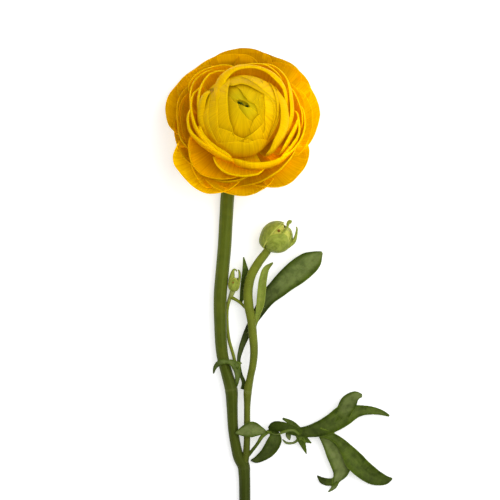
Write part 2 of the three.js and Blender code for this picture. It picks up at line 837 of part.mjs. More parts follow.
const bloom = new THREE.Group();
bloom.position.copy(bloomBase);
bloom.rotation.x = -rad(bloomLean);
bloom.updateMatrix();
bloom.add(
  piece('heart_petals', heartSolid(), finishes.heart),
  piece('cup_petals', cupSolid(), finishes.cup),
  piece('guard_petals', guardSolid(bloom.matrix), finishes.guard),
  piece('calyx', calyxSolid(), finishes.sepal),
);

// The neck of the stem ends square to the bloom's axis, just under the receptacle.
const bloomAxis = new THREE.Vector3(0, Math.sin(rad(bloomLean)), Math.cos(rad(bloomLean)));
const neckTop = receptacle.bottom - gap;
const neckEnds = [neckTop - neckLength, neckTop].map((height) => [
  ...bloomBase.clone().addScaledVector(bloomAxis, height).toArray(),
  receptacle.bottomRadius - gap,
]);
const wholeStemRoute = [...mainStemRoute, ...neckEnds];

const mainStemSolid = toSolid(stem(wholeStemRoute, mainStemGrid)).subtract(toSolid(surfaceSlab));
const roundMainStem = toSolid(stem(wholeStemRoute, mainStemGrid, gap));
const sideStemSolid = toSolid(stem(sideStemRoute, sideStemGrid)).subtract(roundMainStem);
const roundSideStem = toSolid(stem(sideStemRoute, sideStemGrid, gap));
const stalks = (more) =>
  joined([stem(budStalkRoute, stalkGrid, more), stem(bractStalkRoute, shortStalkGrid, more)]);

flower.add(
  bloom,
  piece('main_stem', mainStemSolid, finishes.stem),
  piece('side_stem', sideStemSolid, finishes.youngStem),
  piece('small_bud_stalk', stalks(0).subtract(roundMainStem), finishes.youngStem),
);

// Wide blades are divided across more finely than narrow ones, and long ones along.
function leafBlade(one) {
  const widest = Math.max(...one.route.map(([, , , halfWidth]) => halfWidth));
  return blade(one, widest > 1.7 ? 4 : 2, Math.round(1.25 * one.route.length));
}

const leafPieces = {
  upper_leaf: [[leafBlade(upperLeafBlade)], finishes.darkLeaf],
  light_bract: [[leafBlade(lightBractBlade)], finishes.bract],
  dark_bract: [[leafBlade(darkBractBlade)], finishes.darkLeaf],
  clasping_leaf: [claspingBlades.map(leafBlade), finishes.darkLeaf],
  lower_leaf: [[stem(petioleRoute, [6, 8]), ...lowerLeafBlades.map(leafBlade)], finishes.leaf],
};
for (const [name, [geometries, finish]] of Object.entries(leafPieces)) {
  const clear = [roundMainStem, roundSideStem, stalks(gap)];
  const solid = clear.reduce((rest, other) => rest.subtract(other), joined(geometries));
  flower.add(piece(name, solid, finish));
}

// A bud is modelled upright on its own axis, with bearing 90 on the side that turns up, and then
// turned to where it points.
function placed(bud, ...meshes) {
  const group = new THREE.Group();
  group.position.copy(bud.middle);
  const axis = bud.axis.clone().normalize();
  const right = new THREE.Vector3().crossVectors(axis, new THREE.Vector3(0, 0, 1)).normalize();
  const top = new THREE.Vector3().crossVectors(axis, right);
  group.quaternion.setFromRotationMatrix(new THREE.Matrix4().makeBasis(right, top, axis));
  group.add(...meshes);
  return group;
}
flower.add(
  placed(
    largeBud,
    piece('bud_petals', budPetalSolid(), finishes.budPetal),
    piece('bud_sepals', budSepalSolid(), finishes.sepal),
  ),
  placed(smallBud, piece('small_bud', smallBudSolid(), finishes.sepal)),
);

export default flower;
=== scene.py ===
# A cut ranunculus lying on a pale floor, seen from straight above: the open bloom on its thick
# stem, the side stem with its bud, the small bud on a thin stalk, and the leaves at the nodes.
# Tables and routes are in millimetres, x, y, z from the middle of the flower; meshes are metres.

import math

import bpy
import numpy as np
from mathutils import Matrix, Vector
from mathutils.kdtree import KDTree


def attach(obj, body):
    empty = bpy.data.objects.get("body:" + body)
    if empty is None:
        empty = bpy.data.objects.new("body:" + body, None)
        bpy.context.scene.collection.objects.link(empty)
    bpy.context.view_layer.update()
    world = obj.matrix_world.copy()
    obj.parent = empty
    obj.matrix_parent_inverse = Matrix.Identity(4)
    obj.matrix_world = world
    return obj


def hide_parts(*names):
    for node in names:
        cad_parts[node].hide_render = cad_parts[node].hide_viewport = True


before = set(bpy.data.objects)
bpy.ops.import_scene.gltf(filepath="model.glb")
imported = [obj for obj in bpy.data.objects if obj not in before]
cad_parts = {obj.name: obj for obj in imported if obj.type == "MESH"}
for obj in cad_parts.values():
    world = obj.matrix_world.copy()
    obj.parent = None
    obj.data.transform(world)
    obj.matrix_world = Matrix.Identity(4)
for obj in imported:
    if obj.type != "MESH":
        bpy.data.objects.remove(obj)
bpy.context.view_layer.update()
mm = 0.001
floorGap = 0.05  # how far the floor lies under the lowest petals
print("frame loaded:", len(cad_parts), "pieces")


# Small helpers for shapes

def unit(vectors):
    return vectors / np.maximum(np.linalg.norm(vectors, axis=-1, keepdims=True), 1e-9)


def ease(values, low=0.0, high=1.0):
    t = np.clip((np.asarray(values, float) - low) / (high - low), 0, 1)
    return t * t * (3 - 2 * t)


# A smooth curve through knots at rising places; y may hold one number or several for each knot.
def throughKnots(x, y, at):
    x, y, at = np.asarray(x, float), np.asarray(y, float), np.asarray(at, float)
    slope = np.gradient(y, x, axis=0)
    k = np.clip(np.searchsorted(x, at) - 1, 0, len(x) - 2)
    span = x[k + 1] - x[k]
    t = (at - x[k]) / span
    if y.ndim > 1:
        t, span = t[..., None], span[..., None]
    a = (1 + 2 * t) * (1 - t) ** 2 * y[k] + t * t * (3 - 2 * t) * y[k + 1]
    return a + span * (t * (1 - t) ** 2 * slope[k] - t * t * (1 - t) * slope[k + 1])


def curveOf(pairs, at):
    pairs = np.array(pairs, float)
    return throughKnots(pairs[:, 0], pairs[:, 1], at)


# Points and other numbers along a route, evenly spaced, with the direction at each.
def alongRoute(route, steps):
    route = np.asarray(route, float)
    reach = np.concatenate([[0], np.cumsum(np.linalg.norm(np.diff(route[:, :3], axis=0), axis=1))])
    places = np.linspace(0, reach[-1], steps + 1)
    rows = throughKnots(reach, route, places)
    return rows, unit(np.gradient(rows[:, :3], axis=0)), places


# The grid of a petal or blade: from side to side in a row, from root to rim in a column.
def gridOf(across, along):
    return np.linspace(-1, 1, across + 1)[None, :], np.linspace(0, 1, along + 1)[:, None]


# Soft waves along a rim, each petal with its own.
def rimWaves(dice, amount, across):
    total = np.zeros_like(across)
    for turns in (2.2, 4.6, 8.5):
        total += dice.uniform(0.3, 1.0) / turns * np.sin(turns * across + dice.uniform(0, 2 * math.pi))
    return amount * total


def roundAxis(radius, height, bearing):
    angle = np.radians(bearing)
    return np.stack(np.broadcast_arrays(radius * np.cos(angle), radius * np.sin(angle), height), -1)


# The outline of a ball, a little flattened, from near its foot to near its top.
def ballOutline(ball, depth, angles):
    tall = np.where(angles < 90, ball["up"], ball["down"])
    angles = np.radians(angles)
    return np.stack([(ball["radius"] - depth) * np.sin(angles), (tall - depth) * np.cos(angles)], -1)


# Petals and blades thin out towards their free edge.
thinning = {"petalReach": 1.5, "bladeReach": 0.8, "bladeShare": 0.45}


def thinned(petals, rimGap):
    reach = thinning["petalReach"]
    return petals["thick"] + (petals["rimThick"] - petals["thick"]) * ease(rimGap, reach, 0)


def thinEdge(thick, rimGap):
    share = thinning["bladeShare"]
    return thick * (share + (1 - share) * ease(rimGap, 0, thinning["bladeReach"]))


# A pile gathers the points, faces and marks of one object. Marks are what the materials read:
# inside (which face of a petal), rimGap (mm to the free edge), tint (how far the colour moves),
# shade (how much darker it is, painted shade on the petals and the upper leaf) and place (mm across,
# mm along and a number of its own for each petal or blade).
marks = ("inside", "rimGap", "tint", "shade")
noRim = 9  # the rimGap of parts without a free edge


def newPile():
    return {"points": [], "faces": [], "count": 0, "place": [], **{name: [] for name in marks}}


def placeAt(across, along, number):
    return np.stack(np.broadcast_arrays(across, along, float(number)), -1)


def addPoints(pile, points, inside, rimGap, place, tint, shade=0.0):
    flat = points.reshape(-1, 3)
    first = pile["count"]
    pile["points"].append(flat)
    pile["count"] += len(flat)
    for name, value in zip(marks, (inside, rimGap, tint, shade)):
        pile[name].append(np.broadcast_to(value, points.shape[:-1]).reshape(-1))
    pile["place"].append(np.broadcast_to(place, points.shape).reshape(-1, 3))
    return first


# A thin closed shell about a grid of points whose rows run from the root to the rim.
def addShell(pile, middle, thick, rimGap, place, tint, shade=0.0):
    rows, columns = middle.shape[:2]
    thick = np.broadcast_to(thick, (rows, columns))
    out = unit(np.cross(np.gradient(middle, axis=1), np.gradient(middle, axis=0)))
    half = out * thick[..., None] / 2
    first = addPoints(pile, middle + half, 0, rimGap, place, tint, shade)
    addPoints(pile, middle - half, 1, rimGap, place, tint, shade)
    grid = np.arange(rows * columns).reshape(rows, columns) + first
    face = np.stack([grid[:-1, :-1], grid[:-1, 1:], grid[1:, 1:], grid[1:, :-1]], -1).reshape(-1, 4)
    edge = np.concatenate([grid[0], grid[1:, -1], grid[-1, -2::-1], grid[-2:0:-1, 0]])
    after = np.roll(edge, -1)
    other = rows * columns
    pile["faces"] += face.tolist() + (face[:, ::-1] + other).tolist()
    pile["faces"] += np.stack([edge, edge + other, after + other, after], -1).tolist()


# Faces between neighbouring rings of points, and a lid over each end that is closed.
def joinRings(pile, first, levels, sides, ends=(1, 1)):
    for j in range(levels - 1):
        for i in range(sides):
            a, b = first + j * sides + i, first + j * sides + (i + 1) % sides
            pile["faces"].append([a, b, b + sides, a + sides])
    last = first + (levels - 1) * sides
    if ends[0]:
        pile["faces"].append([first + i for i in reversed(range(sides))])
    if ends[1]:
        pile["faces"].append([last + i for i in range(sides)])
    return first


# A closed tube about a route of x, y, z, radius. ribs gives the section its long ridges.
def addTube(pile, route, sides, steps, ribs=(0, 0), number=0, tint=0.0, shades=(0, 0), ends=(1, 1)):
    rows, ahead, places = alongRoute(route, steps)
    radius = rows[:, 3]
    side = np.zeros((steps + 1, 3))
    side[0] = unit(np.cross(ahead[0], [0.1, 0.2, 1.0]))
    for k in range(1, steps + 1):
        side[k] = unit(side[k - 1] - ahead[k] * np.dot(side[k - 1], ahead[k]))
    other = np.cross(ahead, side)
    turn = np.linspace(0, 2 * math.pi, sides, endpoint=False)
    count, depth = ribs
    ridge = 1 + depth * np.cos(count * turn + 0.01 * places[:, None])
    ring = side[:, None] * np.cos(turn)[None, :, None] + other[:, None] * np.sin(turn)[None, :, None]
    points = rows[:, None, :3] + ring * (radius[:, None] * ridge)[..., None]
    place = placeAt((turn * radius.mean())[None, :], places[:, None], number)
    tints = tint(places)[:, None] if callable(tint) else tint
    shade = np.linspace(*shades, steps + 1)[:, None]
    first = addPoints(pile, points, 0, noRim, place, tints, shade)
    return joinRings(pile, first, steps + 1, sides, ends)


# A solid of revolution about the +Z axis from radius and height points, closed at both ends.
def addTurned(pile, profile, sides, place=(0, 0, 0), tint=0.0):
    profile = np.asarray(profile, float)
    turn = np.linspace(0, 2 * math.pi, sides, endpoint=False)
    points = np.zeros((len(profile), sides, 3))
    points[..., 0] = profile[:, :1] * np.cos(turn)
    points[..., 1] = profile[:, :1] * np.sin(turn)
    points[..., 2] = profile[:, 1:]
    first = addPoints(pile, points, 0, noRim, np.asarray(place, float), tint)
    joinRings(pile, first, len(profile), sides)


def writeMark(mesh, name, values):
    kind, field = ("FLOAT_VECTOR", "vector") if values.ndim > 1 else ("FLOAT", "value")
    mesh.attributes.new(name, kind, "POINT").data.foreach_set(field, values.astype(np.float32).ravel())


def meshOf(pile, name):
    mesh = bpy.data.meshes.new(name)
    points = np.concatenate(pile["points"]) * mm
    mesh.from_pydata(points.tolist(), [], pile["faces"])
    for mark in (*marks, "place"):
        writeMark(mesh, mark, np.concatenate(pile[mark]))
    mesh.shade_smooth()
    return mesh


def makePiece(name, mesh, look, slot, *nodes):
    if isinstance(mesh, dict):
        mesh = meshOf(mesh, name)
    piece = bpy.data.objects.new(name, mesh)
    bpy.context.scene.collection.objects.link(piece)
    mesh.materials.append(finishes[look])
    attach(piece, "root")
    if nodes:
        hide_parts(*nodes)


# Node helpers. A value may be a number, a colour or another node's output.

def addNode(tree, kind, settings=(), values=()):
    node = tree.nodes.new("ShaderNode" + kind)
    for name, value in dict(settings).items():
        setattr(node, name, value)
    for name, value in dict(values).items():
        if isinstance(value, bpy.types.NodeSocket):
            tree.links.new(value, node.inputs[name])
        else:
            node.inputs[name].default_value = value
    return node


def newGroup(name, colours, numbers, outputs):
    tree = bpy.data.node_groups.new(name, "ShaderNodeTree")
    for label in colours:
        tree.interface.new_socket(label, in_out="INPUT", socket_type="NodeSocketColor")
    for label, value in numbers.items():
        socket = tree.interface.new_socket(label, in_out="INPUT", socket_type="NodeSocketFloat")
        socket.default_value = value
    for label in outputs:
        kind = "Color" if label == "Colour" else "Float"
        tree.interface.new_socket(label, in_out="OUTPUT", socket_type="NodeSocket" + kind)
    return tree, tree.nodes.new("NodeGroupInput").outputs, tree.nodes.new("NodeGroupOutput").inputs


def linkAll(tree, sources, inputs):
    for name, source in sources.items():
        tree.links.new(source, inputs[name])


def mixColours(tree, factor, first, second, blend="MIX"):
    settings = {"data_type": "RGBA", "blend_type": blend}
    return addNode(tree, "Mix", settings, {0: factor, 6: first, 7: second}).outputs[2]


def maths(tree, operation, *numbers):
    return addNode(tree, "Math", {"operation": operation}, enumerate(numbers)).outputs[0]


def ranged(tree, value, low, high, toLow=0.0, toHigh=1.0):
    values = {"Value": value, "From Min": low, "From Max": high, "To Min": toLow, "To Max": toHigh}
    return addNode(tree, "MapRange", {"interpolation_type": "SMOOTHSTEP"}, values).outputs["Result"]


def marked(tree, name, output="Fac"):
    return addNode(tree, "Attribute", {"attribute_name": name}).outputs[output]


def noiseAt(tree, vector, detail, roughness=0.5):
    values = {"Vector": vector, "Scale": 1.0, "Detail": detail, "Roughness": roughness}
    return addNode(tree, "TexNoise", values=values).outputs["Fac"]


# Streaks and the shade mark darken a colour, each towards a tone of its own; on the petals the
# shade mark is painted shade.
def darkened(tree, colour, mask, streaks, streakTone, shadeTone):
    dark = maths(tree, "MULTIPLY", maths(tree, "SUBTRACT", 1.0, mask), streaks)
    colour = mixColours(tree, dark, colour, streakTone, "MULTIPLY")
    return mixColours(tree, marked(tree, "shade"), colour, shadeTone, "MULTIPLY")


# Fine long fibres: streaks of noise drawn out along a petal, blade or stem.
def fibreGroup():
    tree, given, out = newGroup(
        "fibreStreaks", (), {"Across": 1.6, "Along": 0.07, "Contrast": 1.0}, ("Mask", "Height"))
    parts = addNode(tree, "SeparateXYZ", values={0: marked(tree, "place", "Vector")}).outputs
    scales = (given["Across"], given["Along"], 3.7)
    scaled = {k: maths(tree, "MULTIPLY", parts[k], scale) for k, scale in enumerate(scales)}
    broad = noiseAt(tree, addNode(tree, "CombineXYZ", values=scaled).outputs[0], 3.0, 0.6)
    mask = maths(tree, "MULTIPLY_ADD", maths(tree, "SUBTRACT", broad, 0.5), given["Contrast"], 0.5)
    linkAll(tree, {"Mask": mask, "Height": broad}, out)
    return tree


# A petal's colour: one tone for its inner face and one for its back, deeper towards its root (its
# own deeper tone with painted shade deep in the bloom), pale along the free edge (a paler margin with
# a painted highlight on the thin lit rim), moved by its tint and by streaks.
def petalGroup(fibres):
    tree, given, out = newGroup(
        "petalTones", ("Face", "Back", "Root", "Rim", "Tinted"),
        {"Rim Width": 1.2, "Root Start": 4.0, "Root End": 14.0, "Streaks": 0.12},
        ("Colour", "Height", "Roughness"))
    rimGap = marked(tree, "rimGap")
    fibre = addNode(tree, "Group", {"node_tree": fibres}, {"Across": 1.7, "Along": 0.05, "Contrast": 2.6})
    colour = mixColours(tree, marked(tree, "inside"), given["Back"], given["Face"])
    # deeper towards the root: its own tone there, with painted shade deep in the bloom
    depth = ranged(tree, rimGap, given["Root Start"], given["Root End"])
    colour = mixColours(tree, depth, colour, given["Root"])
    colour = mixColours(tree, marked(tree, "tint"), colour, given["Tinted"])
    wanderAt = addNode(tree, "VectorMath", {"operation": "MULTIPLY"}, {
        0: marked(tree, "place", "Vector"), 1: (0.25, 0.25, 1.9)})
    wander = noiseAt(tree, wanderAt.outputs[0], 1.0)
    rimWidth = maths(tree, "MULTIPLY", given["Rim Width"], maths(tree, "ADD", wander, 0.5))
    # pale rim: a paler margin with a painted highlight on the thin lit edge
    colour = mixColours(tree, ranged(tree, rimGap, 0.0, rimWidth, 1.0, 0.0), colour, given["Rim"])
    mask = fibre.outputs["Mask"]
    colour = darkened(tree, colour, mask, given["Streaks"], (0.45, 0.16, 0.0, 1.0), (0.42, 0.36, 0.1, 1.0))
    roughness = ranged(tree, mask, 0.2, 0.8, 0.42, 0.58)
    linkAll(tree, {"Colour": colour, "Height": fibre.outputs["Height"], "Roughness": roughness}, out)
    return tree


# Green tissue: two tones mottled by noise, streaked, with a pale third tone where tint says.
def greenGroup(fibres):
    tree, given, out = newGroup(
        "greenTissue", ("Dark", "Light", "Pale", "Edge"),
        {"Edge Width": 0.5, "Mottle Scale": 0.35, "Streak Across": 2.2, "Streaks": 0.3},
        ("Colour", "Height", "Roughness"))
    fibre = addNode(tree, "Group", {"node_tree": fibres}, {"Along": 0.12, "Across": given["Streak Across"]})
    mottleAt = addNode(tree, "VectorMath", {"operation": "SCALE"}, {
        0: marked(tree, "place", "Vector"), "Scale": given["Mottle Scale"]})
    mottle = noiseAt(tree, mottleAt.outputs[0], 4.0, 0.6)
    colour = mixColours(tree, ranged(tree, mottle, 0.3, 0.7), given["Dark"], given["Light"])
    pale = maths(tree, "MULTIPLY", marked(tree, "tint"), ranged(tree, mottle, 0.2, 0.72, 0.4, 1.0))
    colour = mixColours(tree, pale, colour, given["Pale"])
    edge = ranged(tree, marked(tree, "rimGap"), 0.0, given["Edge Width"], 1.0, 0.0)
    colour = mixColours(tree, edge, colour, given["Edge"])
    mask = fibre.outputs["Mask"]
    colour = darkened(tree, colour, mask, given["Streaks"], (0.2, 0.3, 0.1, 1.0), (0.2, 0.22, 0.2, 1.0))
    roughness = ranged(tree, mottle, 0.3, 0.7, 0.38, 0.55)
    linkAll(tree, {"Colour": colour, "Height": fibre.outputs["Height"], "Roughness": roughness}, out)
    return tree


fibreNodes = fibreGroup()


# Colours are given as seen on a screen, red, green, blue from 0 to 255.
def seen(red, green, blue):
    shares = [value / 255 for value in (red, green, blue)]
    return (*(s / 12.92 if s < 0.043 else ((s + 0.055) / 1.055) ** 2.4 for s in shares), 1.0)


# A finish from a group: colour, roughness and a bump, with a soft gloss tinted like the tissue,
# and a painted glow: the tissue gives off its own colour, standing in for light shining through it.
def finish(name, group, labels, values, glow, bump):
    material = bpy.data.materials.new(name)
    material.use_nodes = True
    tree = material.node_tree
    shader = tree.nodes["Principled BSDF"]
    values = [seen(*value) if isinstance(value, tuple) else value for value in values]
    tones = addNode(tree, "Group", {"node_tree": group}, zip(labels, values)).outputs
    relief = addNode(tree, "Bump", values={
        "Strength": bump["strength"], "Distance": bump["depth"] * mm, "Height": tones["Height"]})
    linkAll(tree, {
        "Base Color": tones["Colour"], "Emission Color": tones["Colour"], "Roughness": tones["Roughness"],
        "Normal": relief.outputs["Normal"]}, shader.inputs)
    # painted glow: the colour is given off as light, in place of light through the thin tissue
    shader.inputs["Emission Strength"].default_value = glow["paintedGlow"]
    shader.inputs["Specular IOR Level"].default_value = glow["specular"]
    shader.inputs["Specular Tint"].default_value = glow["tint"]
    shader.subsurface_method = "BURLEY"
    shader.inputs["Subsurface Weight"].default_value = glow["weight"]
    shader.inputs["Subsurface Scale"].default_value = glow["scale"] * mm
    shader.inputs["Subsurface Radius"].default_value = glow["radius"]
    return material


petalGlow = {
    "specular": 0.06, "paintedGlow": 0.1, "tint": (1.0, 0.8, 0.02, 1.0), "weight": 0.65, "scale": 2.4,
    "radius": (1.0, 0.7, 0.08)}
heartGlow = {**petalGlow, "paintedGlow": 0.06, "weight": 0.3, "scale": 0.8}
leafGlow = {
    "specular": 0.22, "paintedGlow": 0.0, "tint": (0.8, 1.0, 0.3, 1.0), "weight": 0.1, "scale": 0.6,
    "radius": (0.4, 1.0, 0.1)}
bladeGlow = {**leafGlow, "specular": 0.15}
eyeGlow = {**leafGlow, "specular": 0.0}
petalFinish = {
    "nodes": petalGroup(fibreNodes), "bump": {"strength": 0.5, "depth": 0.3},
    "labels": ("Face", "Back", "Root", "Rim", "Tinted", "Rim Width", "Root Start", "Root End", "Streaks"),
    "kinds": {
        "heart": ("heartPetal", heartGlow, (240, 184, 0), (255, 210, 6), (250, 190, 0), (255, 222, 10),
                  (222, 204, 20), 0.5, 5.0, 18.0, 0.4),
        "cup": ("cupPetal", petalGlow, (250, 186, 0), (246, 196, 0), (228, 160, 0), (253, 218, 0),
                (250, 204, 0), 1.8, 3.0, 12.0, 0.35),
        "guard": ("guardPetal", petalGlow, (246, 195, 0), (250, 202, 0), (250, 186, 0), (255, 208, 0),
                  (250, 224, 0), 0.5, 4.0, 14.0, 0.35)},
}
greenFinish = {
    "nodes": greenGroup(fibreNodes), "bump": {"strength": 0.45, "depth": 0.25},
    "labels": ("Dark", "Light", "Pale", "Edge", "Edge Width", "Mottle Scale", "Streak Across", "Streaks"),
    "kinds": {
        "stem": ("mainStemSkin", leafGlow, (94, 106, 26), (112, 122, 34), (146, 152, 80), (112, 122, 34),
                 0.1, 0.12, 1.6, 0.35),
        "youngStem": ("youngStemSkin", leafGlow, (116, 124, 36), (134, 142, 44), (170, 176, 100),
                      (134, 142, 44), 0.1, 0.15, 2.0, 0.3),
        "darkLeaf": ("darkLeafBlade", bladeGlow, (48, 64, 8), (82, 100, 22), (134, 146, 86), (104, 120, 46),
                     0.3, 0.3, 1.4, 0.4),
        "leaf": ("leafBlade", bladeGlow, (46, 62, 6), (78, 96, 16), (122, 132, 78), (98, 114, 40),
                 0.3, 0.3, 1.4, 0.4),
        "bract": ("bractBlade", leafGlow, (112, 126, 40), (132, 144, 52), (156, 166, 80), (150, 162, 76),
                  0.3, 0.4, 1.8, 0.35),
        "sepal": ("sepalSkin", leafGlow, (134, 145, 54), (170, 180, 75), (205, 208, 110), (214, 214, 100),
                  0.6, 0.6, 1.6, 0.4),
        "budPetal": ("budPetalSkin", leafGlow, (184, 188, 76), (212, 212, 100), (226, 224, 130),
                     (222, 222, 110), 0.3, 0.4, 1.6, 0.2),
        "scar": ("scarSkin", leafGlow, (120, 78, 30), (150, 104, 40), (160, 120, 60), (140, 96, 40),
                 0.1, 1.0, 2.0, 0.2),
        "eye": ("eyeTips", eyeGlow, (38, 52, 14), (84, 100, 26), (120, 130, 40), (60, 74, 20),
                0.3, 0.8, 2.0, 0.4)},
}
finishes = {
    kind: finish(name, given["nodes"], given["labels"], values, glow, given["bump"])
    for given in (petalFinish, greenFinish) for kind, (name, glow, *values) in given["kinds"].items()}
print("finishes made:", len(finishes))


# The bloom. Its own axis is upright here; setBloom leans it and sets it on the stem.
# Bearings go round the axis, in degrees, 0 on the +X side; heights are over the bloom's base.
bloom = {
    "base": (-16.1, 67.9, 11.5),
    "lean": 25.0,
    "rimHeightAt20": 20.0,  # height of a rim of 20 mm radius
    "rimFall": 0.75,  # height lost for each mm that a rim is wider
    "cornerCut": 0.16,  # how far a petal's corners fall short of its rim
    "bellyDropShare": 0.6,
    "pressHeight": 1.5,  # petals bend along the floor from this height
    "sunnySide": -5.0,  # the bearing of the lightest side, and where the painted shade begins and ends
    "sunnySpan": (30, 88),
    "curlTurn": 85.0,  # how far a rim rolls in, in degrees
    "curlReach": 0.77,  # width seen from above of a roll 1 mm long
    "curlSteps": 7,
}
leanTurn = math.radians(bloom["lean"])
bloomTurn = np.array([
    [1, 0, 0],
    [0, math.cos(leanTurn), math.sin(leanTurn)],
    [0, -math.sin(leanTurn), math.cos(leanTurn)]])


def setBloom(points, thick=0.0):
    placed = points @ bloomTurn.T + np.array(bloom["base"])
    lowest = thick / 2 + floorGap
    soft = bloom["pressHeight"]
    z = placed[..., 2]
    pressed = lowest + soft * np.exp(np.minimum(z - lowest - soft, 0) / soft)
    placed[..., 2] = np.where(z < lowest + soft, pressed, z)
    return placed


def setBloomPile(pile):
    pile["points"] = [setBloom(points) for points in pile["points"]]


# Bearings from the first knot to the last one, and how far a bearing lies from another.
def bearingsOf(knots, u):
    return knots[0, 0] + (knots[-1, 0] - knots[0, 0]) * (u + 1) / 2


def turnFrom(bearing, other):
    return (bearing - other + 180) % 360 - 180


# Painted shade: petals are a little darker away from the sunny side, where less light falls.
def paintedSideShade(bearing, amount):
    return amount * ease(np.abs(turnFrom(bearing, bloom["sunnySide"])), *bloom["sunnySpan"])


